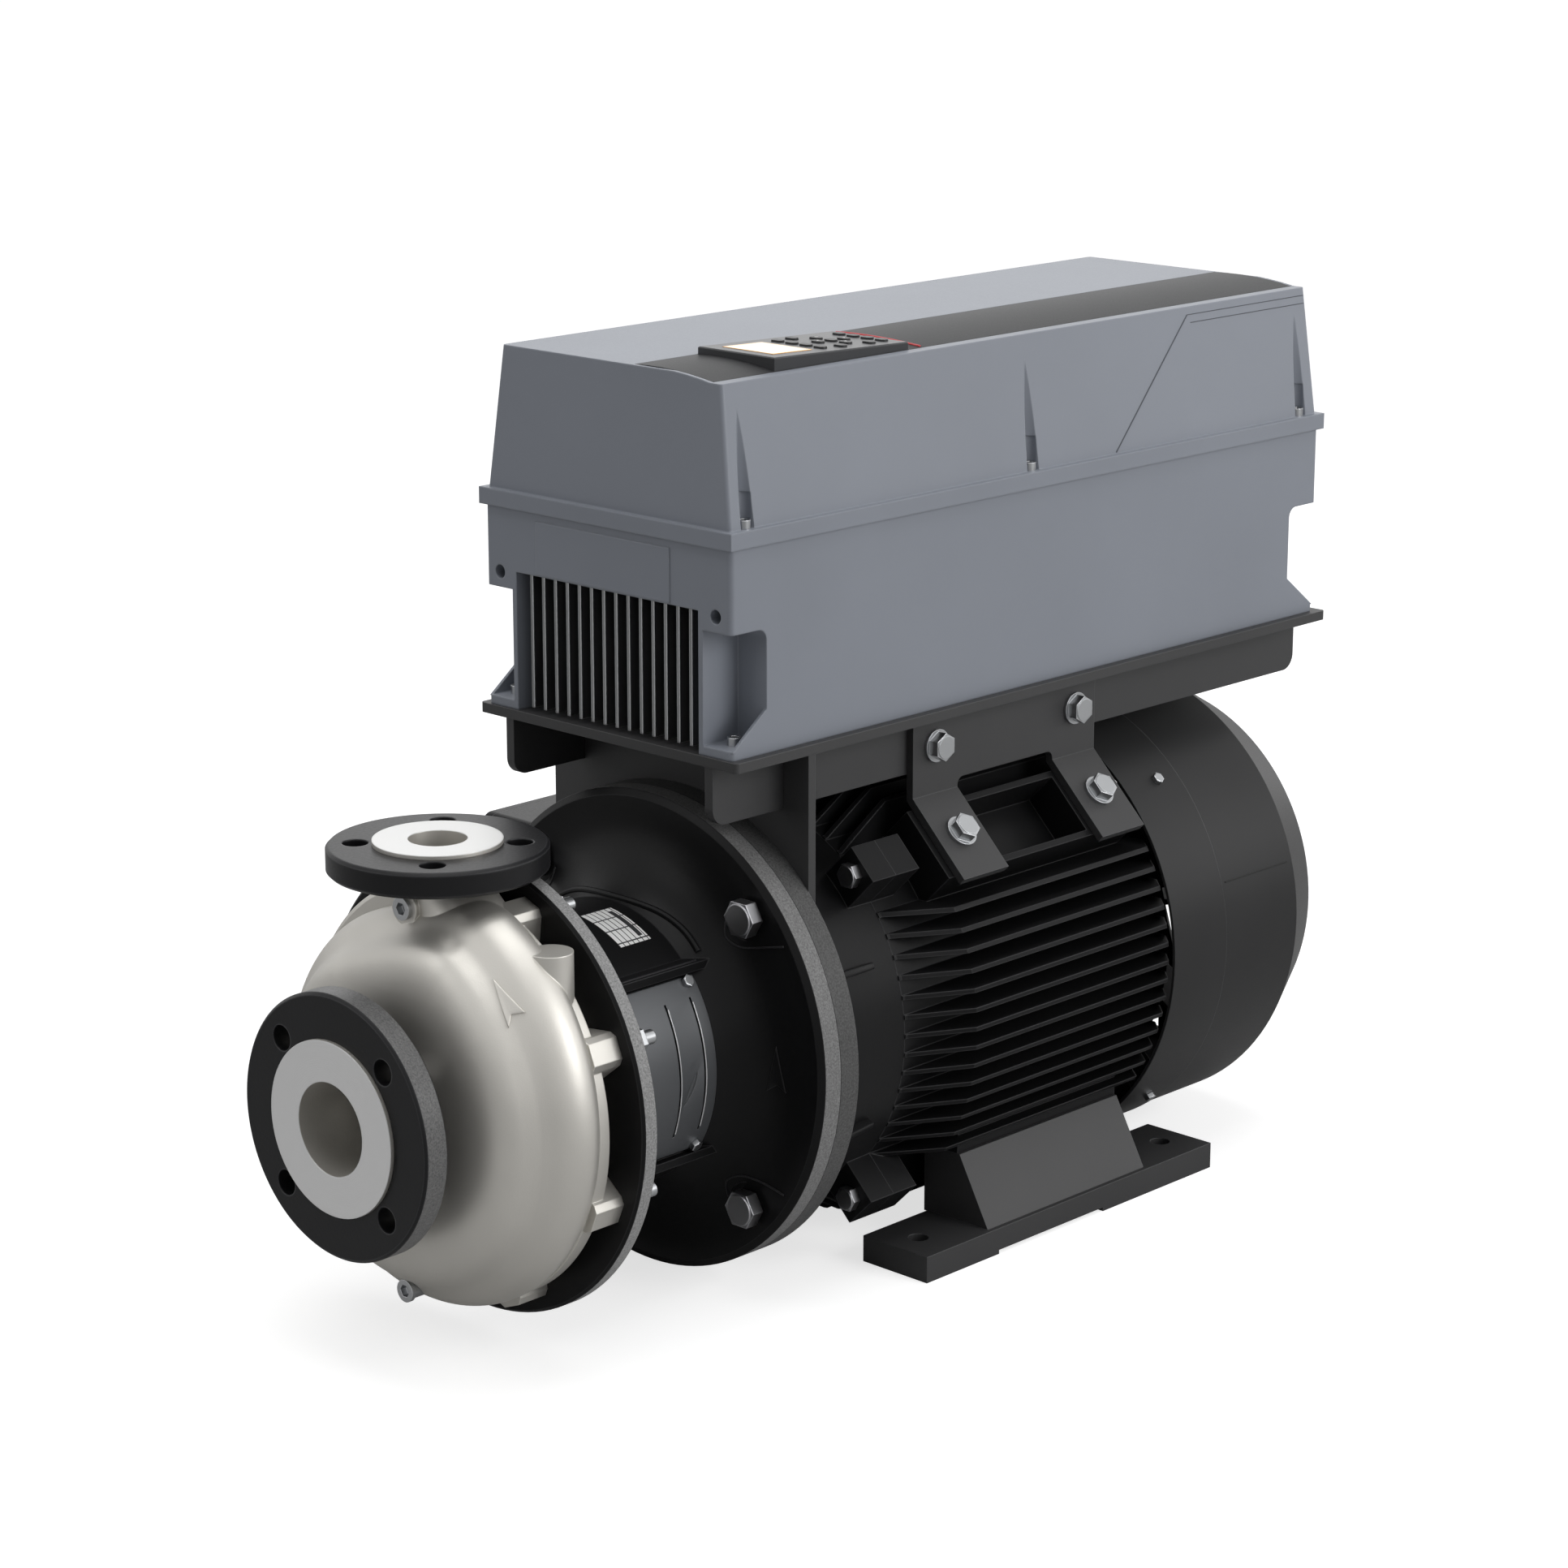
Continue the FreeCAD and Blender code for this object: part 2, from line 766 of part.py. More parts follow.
def teardrop(centre, radius, to_tip, height):
    """An upright boss whose round wall runs out to a tip, as a cast lead-in does."""
    lean = math.degrees(math.acos(radius / to_tip.Length))
    towards = math.degrees(math.atan2(to_tip.y, to_tip.x))
    touches = [centre + Vector(radius * math.cos(math.radians(towards + turn)),
                               radius * math.sin(math.radians(towards + turn)), 0)
               for turn in (lean, -lean)]
    wedge = Part.makePolygon([centre, touches[0], centre + to_tip, touches[1], centre])
    up = Vector(0, 0, 1)
    return rod(centre, up, radius, height).fuse(Part.Face(wedge).extrude(up * height))


def casing_boss(angle):
    """One of the tapered bosses on the rim that take the casing bolts."""
    root, tip = d.cover_flange_radius + 3, d.boss_tip_radius
    back = ring_front
    half_root, half_tip = d.boss_root_width / 2, d.boss_tip_width / 2
    points = [(root, -half_root), (tip - 4, -half_tip - 1), (tip, -half_tip + 3),
              (tip, half_tip - 3), (tip - 4, half_tip + 1), (root, half_root)]
    corners = [Vector(u, back - d.boss_length, v) for u, v in points]
    prism = Part.Face(Part.makePolygon(corners + corners[:1])).extrude(Vector(0, d.boss_length, 0))
    prism.rotate(Vector(0, 0, 0), Vector(0, 1, 0), -angle)
    return prism


def casing_bolt_place(angle, station):
    return shaft_point(angle, (d.cover_flange_radius + d.boss_tip_radius) / 2 + 2, station)


def make_casing():
    back = Vector(0, 1, 0)
    collar = turned_shape([(0, 20), (0, d.suction_face_dia / 2), (d.raised_face, d.suction_face_dia / 2),
                           (d.raised_face, suction_neck), (d.rim_front + 2, suction_neck),
                           (d.rim_front + 2, 20)])
    rim = turned_shape([(d.rim_front, suction_neck - 8), (d.rim_front, d.rim_radius - 3),
                        (d.rim_front + 2, d.rim_radius), (d.rim_back - 1, d.rim_radius),
                        (d.rim_back, d.rim_radius - 1), (d.rim_back, suction_neck - 8)])
    half_way, full_turn = SPIRAL_START + 180, SPIRAL_START + SPIRAL_TURN
    first_half = spiral_loft(casing_section, SPIRAL_START, half_way, 30.0)
    second_half = spiral_loft(casing_section, half_way, full_turn, 30.0)
    tongue = spiral_loft(casing_section, full_turn, SPIRAL_START + 360, 15.0)
    flange_bottom = d.discharge_height - d.raised_face - d.discharge_flange_thick
    outlet = outlet_loft(d.suction_bore / 2 - 3, discharge_neck - 0.8)
    below_flange = block(-FAR, 0, -FAR, FAR, FAR, flange_bottom - 0.3)
    outlet = outlet.common(below_flange)
    neck = rod(Vector(0, d.discharge_station, flange_bottom - 3), Vector(0, 0, 1), discharge_neck,
               d.discharge_flange_thick + d.raised_face + 3)
    face = rod(Vector(0, d.discharge_station, d.discharge_height - d.raised_face), Vector(0, 0, 1),
               d.discharge_face_dia / 2, d.raised_face)
    gauge = teardrop(Vector(d.gauge_boss_out, d.discharge_station + 6, d.gauge_boss_top - 62),
                     d.gauge_boss_radius, Vector(-17, -22, 0), 62)
    vent = rod(Vector(0, d.vent_station, d.vent_height), back, d.plug_boss_radius, d.plug_boss_length)
    drain = rod(Vector(0, d.drain_station, -d.drain_depth), back, d.plug_boss_radius, d.plug_boss_length)
    solid = first_half.fuse(second_half).fuse(tongue).fuse(outlet).fuse(rim)
    solid = solid.fuse([collar, neck, face, gauge, vent, drain])
    solid = solid.fuse([casing_boss(angle) for angle in boss_angles()])
    wear_outer = d.eye_neck_radius + d.wear_gap + d.wear_ring_thick
    eye_front = outlet_front - d.shroud_thick - 22.0
    wall_back = outlet_front - d.shroud_thick - d.side_clearance
    chamber = turned_shape([(-1, 0), (-1, suction_radius), (d.suction_straight, suction_radius),
                            (eye_front, d.eye_radius), (eye_front, wear_outer),
                            (eye_front + 11, wear_outer),
                            (wall_back, d.chamber_radius), (d.rim_back + FAR, d.chamber_radius),
                            (d.rim_back + FAR, 0)])
    clear_of_cover = turned_shape([(d.rim_back, 0), (d.rim_back, d.cover_flange_radius + d.seat_gap),
                                   (d.rim_back + FAR, d.cover_flange_radius + d.seat_gap),
                                   (d.rim_back + FAR, 0)])
    middle = SPIRAL_START + SPIRAL_TURN / 2
    first_channel = spiral_loft(channel_section, SPIRAL_START, middle, 30.0)
    second_channel = spiral_loft(channel_section, middle, SPIRAL_START + SPIRAL_TURN, 30.0)
    passage = outlet_loft(discharge_radius + 1, discharge_radius - 1.5)
    outlet_bore = rod(Vector(0, d.discharge_station, flange_bottom + 3), Vector(0, 0, 1),
                      discharge_radius, 40)
    holes = [rod(casing_bolt_place(angle, ring_front - 20), back, d.m12_radius + d.hole_gap, 60)
             for angle in boss_angles()]
    plugs = [rod(Vector(0, d.vent_station - 1, d.vent_height), back, d.plug_radius - 1, 17),
             rod(Vector(0, d.drain_station - 1, -d.drain_depth), back, d.plug_radius - 1, 17)]
    spots = [rod(Vector(0, d.vent_station, d.vent_height), -back, d.plug_radius + 1.5, 20),
             rod(Vector(0, d.drain_station, -d.drain_depth), -back, d.plug_radius + 1.5, 20)]
    solid = solid.cut(first_channel).cut(second_channel).cut(passage)
    solid = solid.cut([chamber, clear_of_cover, outlet_bore]).cut(holes + plugs + spots)
    keep_shape(solid, "volute_casing")


def make_plugs():
    """Vent and drain plugs with hexagon sockets, seated on their bosses."""
    plugs = []
    for height, station in ((d.vent_height, d.vent_station), (-d.drain_depth, d.drain_station)):
        seat = Vector(0, station, height)
        head = rod(seat, Vector(0, -1, 0), d.plug_radius, d.plug_head_height)
        stem = rod(seat, Vector(0, 1, 0), d.plug_radius - 1 - d.hole_gap, 15)
        key = hex_prism(d.plug_radius, d.plug_head_height + 5, seat + Vector(0, 2, 0), Vector(0, -1, 0))
        plugs.append(head.fuse(stem).removeSplitter().cut(key))
    keep_shape(Part.makeCompound(plugs), "casing_plugs")


# Rotating wet end and seal

def passage_outline(inset):
    """The meridional water passage between the shrouds, widened by inset on both sides."""
    return [(outlet_front - 14, d.eye_radius - 1), (outlet_front - 7, d.eye_radius + 6),
            (outlet_front - inset, d.impeller_radius * 0.6), (outlet_front - inset, d.impeller_radius),
            (outlet_back + inset, d.impeller_radius), (outlet_back + inset, d.impeller_radius * 0.4),
            (outlet_back - 6, d.pump_shaft_radius + 8), (outlet_front - 14, d.pump_shaft_radius + 8)]


def impeller_blade(angle):
    """One backward-curved blade: a crescent between two arcs, trimmed to the passage."""
    lean = 62.0
    inner, outer = d.eye_radius - 4, d.impeller_radius
    start = shaft_point(angle, inner, 0)
    end = shaft_point(angle + lean, outer, 0)
    middle = shaft_point(angle + lean * 0.32, (inner + outer) / 2, 0)
    curve = Part.Arc(start, middle, end)
    chord = end - start
    across = Vector(chord.z, 0, -chord.x).normalize() * d.blade_thick
    shifted = Part.Arc(start + across, middle + across, end + across)
    edges = [curve.toShape(), Part.makeLine(end, end + across), shifted.toShape(),
             Part.makeLine(start + across, start)]
    crescent = Part.Face(Part.Wire(Part.__sortEdges__(edges)))
    crescent.translate(Vector(0, outlet_front - 14, 0))
    return crescent.extrude(Vector(0, 30, 0))


def make_impeller():
    neck = d.eye_neck_radius
    front = outlet_front - d.shroud_thick
    bore = d.pump_shaft_radius + d.shaft_gap
    front_shroud = turned_shape([
        (front - 20, d.eye_radius), (front - 20, neck), (front - 8, neck), (front - 2, neck + 14),
        (front, d.impeller_radius), (outlet_front, d.impeller_radius), (outlet_front - 1.5, neck + 17),
        (outlet_front - 8, d.eye_radius + 3), (outlet_front - 16, d.eye_radius)])
    back_shroud = turned_shape([
        (outlet_front - 22, bore), (outlet_front - 22, bore + 6), (outlet_back - 8, bore + 9),
        (outlet_back - 2, bore + 20), (outlet_back, bore + 38), (outlet_back, d.impeller_radius),
        (impeller_back, d.impeller_radius), (impeller_back, bore + 16), (hub_back, bore + 9),
        (hub_back, bore)])
    room = turned_shape(passage_outline(1.0))
    blades = [impeller_blade(60 * i).common(room) for i in range(6)]
    solid = back_shroud.fuse(blades + [front_shroud])
    keep_shape(solid.removeSplitter(), "impeller")


def make_small_wet_parts():
    front = outlet_front - d.shroud_thick
    inner = d.eye_neck_radius + d.wear_gap
    ring = new_body("wear_ring")
    turn(ring, "ring", box_corners(front - 17.8, inner, front - 8, inner + d.wear_ring_thick - 0.02))
    nut_back = outlet_front - 22
    nut = hex_prism(30.0, 12.0, Vector(0, nut_back, 0), Vector(0, -1, 0))
    nut = nut.fuse(rod(Vector(0, nut_back - 12, 0), Vector(0, -1, 0), 13.0, 4.0))
    nut = nut.cut(rod(Vector(0, nut_back - 14, 0), Vector(0, 1, 0), d.pump_nut_thread + d.shaft_gap, 20))
    keep_shape(nut.removeSplitter(), "impeller_nut")
    seal = new_body("seal_rotating")
    bore = d.pump_shaft_radius + d.shaft_gap
    turn(seal, "ring", [(hub_back, bore), (hub_back, d.seal_ring_radius - 3),
                        (seat_front - 4, d.seal_ring_radius), (seat_front - d.face_gap, d.seal_ring_radius),
                        (seat_front - d.face_gap, bore)])
    seat = turned_shape(box_corners(seat_front, d.pump_shaft_radius + 2, ring_front, d.seat_radius))
    groove_middle = d.rim_back - 3.0
    ring_radius = d.chamber_radius - d.seat_gap - 1.9
    o_ring = Part.makeTorus(ring_radius, 1.7, Vector(0, groove_middle, 0), Vector(0, 1, 0))
    keep_shape(Part.makeCompound([seat, o_ring]), "static_seals")


def make_casing_cover():
    cover = new_body("casing_cover")
    register = d.chamber_radius - d.seat_gap
    front = d.rim_back - 6.5
    seat = d.seat_radius + d.seat_gap
    stool_bore = d.barrel_radius - d.barrel_wall - d.seat_gap
    turn(cover, "plate", [
        (front, register), (front, d.seal_chamber_radius + 6), (seat_front - 2, d.seal_chamber_radius),
        (seat_front - 2, seat), (ring_front, seat), (ring_front, d.pump_shaft_radius + 4),
        (ring_front + 6, d.pump_shaft_radius + 4), (ring_front + 6, stool_bore),
        (ring_front, stool_bore), (ring_front, d.cover_flange_radius),
        (d.rim_back, d.cover_flange_radius), (d.rim_back, register)])
    middle = d.rim_back - 3.0
    turn_away(cover, "ring_groove", box_corners(middle - 1.8, register - 3.6, middle + 1.8, register + 4))


def make_shafts():
    stub = new_body("stub_shaft")
    thread_front = outlet_front - 35.5
    hub_front = outlet_front - 22
    sleeve_front = d.shaft_front - d.coupling_end_gap
    sleeve_back = d.pump_length - d.coupling_end_gap
    fit = d.motor_shaft_radius + d.shaft_gap
    turn(stub, "shaft", [
        (thread_front, 0.0), (thread_front, d.pump_nut_thread), (hub_front, d.pump_nut_thread),
        (hub_front, d.pump_shaft_radius), (sleeve_front - 20, d.pump_shaft_radius),
        (sleeve_front, d.coupling_radius - 6), (sleeve_front, d.coupling_radius),
        (sleeve_back, d.coupling_radius), (sleeve_back, fit), (d.shaft_front - 2, fit),
        (d.shaft_front - 2, 0.0)])
    motor = new_body("motor_shaft")
    front_seat = d.front_bearing_station
    rear_seat = d.rear_bearing_station
    rotor_bore = d.motor_shaft_radius + 7
    turn(motor, "shaft", [
        (d.shaft_front, 0.0), (d.shaft_front, d.motor_shaft_radius - 1),
        (d.shaft_front + 1, d.motor_shaft_radius), (front_seat - 4, d.motor_shaft_radius),
        (front_seat - 4, d.front_bearing_bore), (front_seat + d.front_bearing_width, d.front_bearing_bore),
        (front_seat + d.front_bearing_width, d.front_bearing_bore + 5),
        (d.core_front - 30, d.front_bearing_bore + 5), (d.core_front - 30, rotor_bore),
        (d.core_back + 30, rotor_bore), (d.core_back + 30, d.rear_bearing_bore + 5),
        (rear_seat, d.rear_bearing_bore + 5), (rear_seat, d.rear_bearing_bore),
        (rear_seat + d.rear_bearing_width + 6, d.rear_bearing_bore),
        (rear_seat + d.rear_bearing_width + 6, d.fan_seat_radius),
        (d.fan_station + d.fan_depth - 6, d.fan_seat_radius), (d.fan_station + d.fan_depth - 6, 0.0)])


# Motor stool between pump and motor, with its guards

def make_stool():
    stool = new_body("motor_stool")
    bore = d.barrel_radius - d.barrel_wall
    flange_front = d.pump_length - d.stool_flange_thick
    spigot = d.motor_spigot_radius + d.seat_gap
    turn(stool, "casting", [
        (ring_front, bore), (ring_front, d.stool_ring_radius - 2),
        (ring_front + 2, d.stool_ring_radius), (ring_back, d.stool_ring_radius),
        (ring_back, d.barrel_radius + 8), (ring_back + 6, d.barrel_radius),
        (d.bell_start, d.barrel_radius, d.bell_radius),
        (flange_front - 1, d.motor_flange_radius - 5), (flange_front + 2, d.motor_flange_radius),
        (d.pump_length, d.motor_flange_radius), (d.pump_length, spigot),
        (d.pump_length - d.spigot_height - 1, spigot),
        (d.pump_length - d.spigot_height - 1, spigot - 12), (d.bell_start + 4, bore)])
    rail_inner = math.sqrt(max(bore * bore - d.window_top * d.window_top, 0)) - 8
    rails = []
    for name, low, high, reach in (
            ("upper_rail", d.window_top + 9, d.window_top + 9 + d.rail_bead, 84.0),
            ("lower_rail", -d.window_bottom - 9 - d.rail_bead, -d.window_bottom - 9, 91.0)):
        corners = box_corners(rail_inner + 4, low, reach, high)
        rail = grow(stool, name, PLANE_ACROSS, corners, ring_back, d.bell_start + 20 - ring_back)
        rails.append(rail)
    mirror(stool, "far_rails", rails, PLANE_OF_SHAFT)
    window = box_corners(d.window_front, -d.window_bottom, d.window_back, d.window_top)
    carve(stool, "windows", PLANE_OF_SHAFT, window, -FAR, 2 * FAR)
    turn_away(stool, "bore", box_corners(ring_front - 1, 0.0, d.bell_start, bore))
    under_flange = d.discharge_height - d.raised_face - d.discharge_flange_thick - 2
    room = new_sketch(stool, "flange_room_outline", PLANE_LEVEL, under_flange)
    draw_circle(room, 0.0, d.discharge_station, d.discharge_flange_dia / 2 + 3)
    carve_sketch(stool, "flange_room", PLANE_LEVEL, room, 30.0)
    reach = d.motor_pitch_radius * DIAGONAL
    pad_front = flange_front - 3
    pad = new_sketch(stool, "pad_outline", PLANE_ACROSS, pad_front - 40)
    draw_circle(pad, reach, reach, d.m16_flats * 0.75)
    faced = carve_sketch(stool, "bolt_pad", PLANE_ACROSS, pad, 40.0)
    repeat_round(stool, "bolt_pads", faced, 4)
    hole = drill(stool, "bolt_hole", PLANE_ACROSS, [(reach, reach, d.m16_radius + d.hole_gap)],
                 pad_front - 1, 40.0)
    repeat_round(stool, "bolt_holes", hole, 4)
    place = casing_bolt_place(22.5, 0)
    small = drill(stool, "ring_hole", PLANE_ACROSS, [(place.x, place.z, d.m12_radius + d.hole_gap)],
                  ring_front - 1, d.stool_ring_thick + 2)
    repeat_round(stool, "ring_holes", small, 8)


def guard_sheet(side):
    """A curved sheet over one stool window, with its two long slots."""
    inner = d.barrel_radius + d.seat_gap
    outer = inner + d.guard_thick
    shell = turned_shape(box_corners(d.window_front - d.guard_overlap, inner,
                                     d.bell_start - d.seat_gap, outer))
    low = -d.window_bottom - d.guard_overlap
    high = d.window_top + d.guard_overlap
    span = block(20, 0, low, FAR, FAR, high)
    sheet_piece = shell.common(span)
    slots = [block(20, station, low + 16, FAR, station + 1.8, high - 12)
             for station in (d.window_back - 34, d.window_back - 10)]
    sheet_piece = sheet_piece.cut(slots)
    return sheet_piece if side > 0 else sheet_piece.mirror(Vector(0, 0, 0), Vector(1, 0, 0))


def guard_screw_places():
    stations = (d.window_front + 4, d.window_back - 6)
    radius = d.barrel_radius + d.seat_gap + d.guard_thick
    places = []
    for height in (d.window_top + 3, -d.window_bottom - 3):
        angle = math.degrees(math.asin(height / radius))
        for station in stations:
            places.append((angle, station))
            places.append((180 - angle, station))
    return places


def make_guards():
    keep_shape(Part.makeCompound([guard_sheet(1), guard_sheet(-1)]), "coupling_guards")


# Motor castings

def make_drive_end_shield():
    shield = new_body("drive_end_shield")
    face = d.pump_length
    back = face + d.motor_flange_thick
    seat = d.front_bearing_station
    seat_back = seat + d.front_bearing_width
    bearing = d.front_bearing_radius
    spigot = d.motor_spigot_radius
    register = d.frame_bore - d.seat_gap
    turn(shield, "casting", [
        (face - d.spigot_height, spigot - 15), (face - d.spigot_height, spigot), (face, spigot),
        (face, d.motor_flange_radius), (back, d.motor_flange_radius), (back, d.shield_radius + 3),
        (back + 8, d.shield_radius), (d.frame_front, d.shield_radius - 2), (d.frame_front, register),
        (d.frame_front + 8, register), (d.frame_front + 8, register - 9), (back + 8, register - 9),
        (back - 4, spigot - 8), (back - 4, bearing + 10), (seat_back + 3, bearing + 10),
        (seat_back + 3, bearing), (seat, bearing), (seat, d.front_bearing_bore + 2),
        (face, d.front_bearing_bore + 2), (face, spigot - 15)])
    ribs = [spoke_corners(angle, d.shield_radius - 6, d.shield_radius + 12, 2.5)
            for angle in (22.5, -22.5, -67.5, -112.5, -157.5, 157.5)]
    grow(shield, "ribs", PLANE_ACROSS, ribs, back - 1, 26.0)
    turn_away(shield, "rib_slope", [
        (back, d.shield_radius + 12), (back + 26, d.shield_radius + 0.5),
        (back + 26, d.shield_radius + 30), (back, d.shield_radius + 30)])
    lug = grow(shield, "lug", PLANE_ACROSS, lug_corners(d.frame_radius - 3),
               d.frame_front - d.lug_length, d.lug_length)
    repeat_round(shield, "lugs", lug, 4)
    reach = d.motor_pitch_radius * DIAGONAL
    hole = drill(shield, "flange_hole", PLANE_ACROSS, [(reach, reach, d.m16_radius + d.hole_gap)],
                 face - 1, d.motor_flange_thick - 1)
    repeat_round(shield, "flange_holes", hole, 4)
    bolt = lug_bolt_reach()
    small = drill(shield, "lug_hole", PLANE_ACROSS, [(bolt, bolt, d.m10_radius + d.hole_gap)],
                  d.frame_front - d.lug_length - 1, d.lug_length + 2)
    repeat_round(shield, "lug_holes", small, 4)


def lug_corners(root):
    """A lug at 45 degrees: a rectangle from root out to the lug radius."""
    return slanted_corners(root, d.lug_radius, d.lug_half_width)


def four_ways(corners):
    """The outline and its copies at a quarter, a half and three quarters of a turn."""
    return [corners, [(-v, u) for u, v in corners], [(-u, -v) for u, v in corners],
            [(v, -u) for u, v in corners]]


def both_sides(corners):
    return [corners, [(-u, v) for u, v in corners]]


def slanted_corners(root, tip, half_width):
    """Corners of a rectangle whose middle line leaves the shaft at 45 degrees."""
    return [((reach - side * half_width) * DIAGONAL, (reach + side * half_width) * DIAGONAL)
            for reach, side in ((root, -1), (tip, -1), (tip, 1), (root, 1))]


def spoke_corners(angle, inner, outer, half_width):
    """Corners of a radial bar at an angle from + X towards + Z."""
    out_u, out_v = math.cos(math.radians(angle)), math.sin(math.radians(angle))
    return [(reach * out_u - side * half_width * out_v, reach * out_v + side * half_width * out_u)
            for reach, side in ((inner, -1), (outer, -1), (outer, 1), (inner, 1))]


def lug_bolt_reach():
    return (d.lug_radius - 13.0) * DIAGONAL


def make_stator_frame():
    frame = new_body("stator_frame")
    turn(frame, "barrel", box_corners(d.frame_front, d.frame_bore - 20, d.frame_back, d.frame_radius))
    length = d.frame_back - d.frame_front
    side = comb_corners(DIMS["side_fin_count"], -(d.side_fin_count / 2) * d.fin_pitch)
    grow(frame, "side_fins", PLANE_ACROSS, side, d.frame_front, length)
    far_side = [(-u, v) for u, v in side]
    grow(frame, "far_fins", PLANE_ACROSS, far_side, d.frame_front, length)
    left = -(d.top_fin_count - 1) / 2 * d.fin_pitch - d.fin_thick / 2
    upright = comb_corners(DIMS["top_fin_count"], left)
    grow(frame, "top_fins", PLANE_ACROSS, [(v, u) for u, v in upright], d.frame_front, length)
    grow(frame, "bottom_fins", PLANE_ACROSS, [(v, -u) for u, v in upright], d.frame_front, length)
    beyond = frame_tip + 60
    turn_away(frame, "fin_line", [
        (d.frame_front - 1, d.frame_radius + 1), (d.frame_front + 2, d.frame_radius + 1),
        (d.frame_front + d.fin_taper, frame_tip), (d.frame_back - d.fin_chamfer, frame_tip),
        (d.frame_back, frame_tip - d.fin_chamfer), (d.frame_back + 1, frame_tip - d.fin_chamfer),
        (d.frame_back + 1, beyond), (d.frame_front - 1, beyond)])
    add_frame_pads(frame)
    for feature in frame.Group[1:]:
        if hasattr(feature, "Refine"):
            feature.Refine = False
    turn_away(frame, "bore", box_corners(d.frame_front - 1, 0.0, d.frame_back + 1, d.frame_bore))
    drill_frame(frame)


def comb_corners(count, first):
    """Outline of a comb of parallel fins; its spine lies inside the bore that is cut later."""
    root, tip = d.frame_radius * 0.62, frame_tip + 4
    corners = [(root, first)]
    for index in range(int(count)):
        low = first + d.fin_pitch * index
        high = low + d.fin_thick
        corners += [(tip, low), (tip, high), (root + 2, high), (root + 2, low + d.fin_pitch)]
    return corners[:-2] + [(root, corners[-3][1])]


def add_frame_pads(frame):
    """Lugs, bracket pads, foot pads and the seat of the terminal box."""
    root = d.frame_radius - 3
    grow(frame, "front_lugs", PLANE_ACROSS, four_ways(lug_corners(root)), d.frame_front, d.lug_length)
    rear = slanted_corners(root, d.cowl_front_radius - 12, 15.0)
    grow(frame, "rear_lugs", PLANE_ACROSS, four_ways(rear), d.frame_back - d.lug_length, d.lug_length)
    pad_corners = slanted_corners(root, pad_reach, d.pad_half_width)
    grow(frame, "bracket_pads", PLANE_ACROSS, both_sides(pad_corners), d.bracket_front - 6,
         d.bracket_length + 12)
    recess_corners = slanted_corners(d.frame_radius + 3, pad_reach + 5, d.pad_half_width - 5)
    carve(frame, "pad_recesses", PLANE_ACROSS, both_sides(recess_corners),
          d.bracket_front + d.bracket_leg + 4, d.bracket_length - 2 * d.bracket_leg - 8)
    foot_front = d.foot_block_back - d.foot_block_length
    sole = box_corners(d.foot_block_inner - 10, -d.foot_block_top, d.foot_block_crown - 2,
                       -d.foot_block_top + 16)
    grow(frame, "foot_pads", PLANE_ACROSS, both_sides(sole), foot_front, d.foot_block_length)
    below = box_corners(d.foot_block_inner - 8, -FAR, FAR, -d.foot_block_top)
    carve(frame, "foot_rooms", PLANE_ACROSS, both_sides(below), foot_front - 3, d.foot_block_length + 6)
    seat = box_corners(-d.box_face, -d.box_half_height + 18, -d.frame_bore, d.box_half_height - 18)
    grow(frame, "box_seat", PLANE_ACROSS, seat, d.box_front + 30, d.box_length - 40)
    room = box_corners(-d.box_face - FAR, -d.box_half_height - 4, -d.box_face, d.box_half_height + 4)
    carve(frame, "box_room", PLANE_ACROSS, room, d.box_front - 4, d.box_length + 8)


def drill_frame(frame):
    bolt = lug_bolt_reach()
    holes = [(bolt * i, bolt * j, d.m10_radius + d.hole_gap) for i in (-1, 1) for j in (-1, 1)]
    drill(frame, "lug_holes", PLANE_ACROSS, holes, d.frame_front - 1, d.lug_length - 2)
    legs = [(station, 0.0, d.m12_radius + d.hole_gap) for station in bracket_stations()]
    for name, side in (("right_pad_holes", 1), ("left_pad_holes", -1)):
        drill_slanted(frame, name, side, legs, pad_reach - 22, 40.0)


def make_rear_shield():
    shield = new_body("non_drive_end_shield")
    register = d.frame_bore - d.seat_gap
    seat = d.rear_bearing_station
    seat_back = seat + d.rear_bearing_width
    bearing = d.rear_bearing_radius
    turn(shield, "casting", [
        (d.frame_back - 8, register - 9), (d.frame_back - 8, register), (d.frame_back, register),
        (d.frame_back, d.frame_radius), (d.frame_back + 20, d.frame_radius),
        (d.frame_back + 26, d.frame_radius - 10), (d.frame_back + 26, bearing + 10),
        (seat_back + 5, bearing + 6), (seat_back + 5, d.rear_bearing_bore + 3),
        (seat_back, d.rear_bearing_bore + 3), (seat_back, bearing), (seat - 4, bearing),
        (seat - 4, bearing + 10), (d.frame_back + 14, bearing + 18), (d.frame_back + 14, register - 9)])
    tip = d.cowl_front_radius - d.cowl_wall - d.seat_gap
    boss = grow(shield, "cowl_boss", PLANE_ACROSS, slanted_corners(d.frame_radius - 10, tip, 12.0),
                d.frame_back + 4, 36.0)
    repeat_round(shield, "cowl_bosses", boss, 4)
    around = tip + 40
    turn_away(shield, "boss_line", box_corners(d.frame_back, tip, d.frame_back + 60, around))


def cowl_screw_station():
    return d.frame_back + 30.0


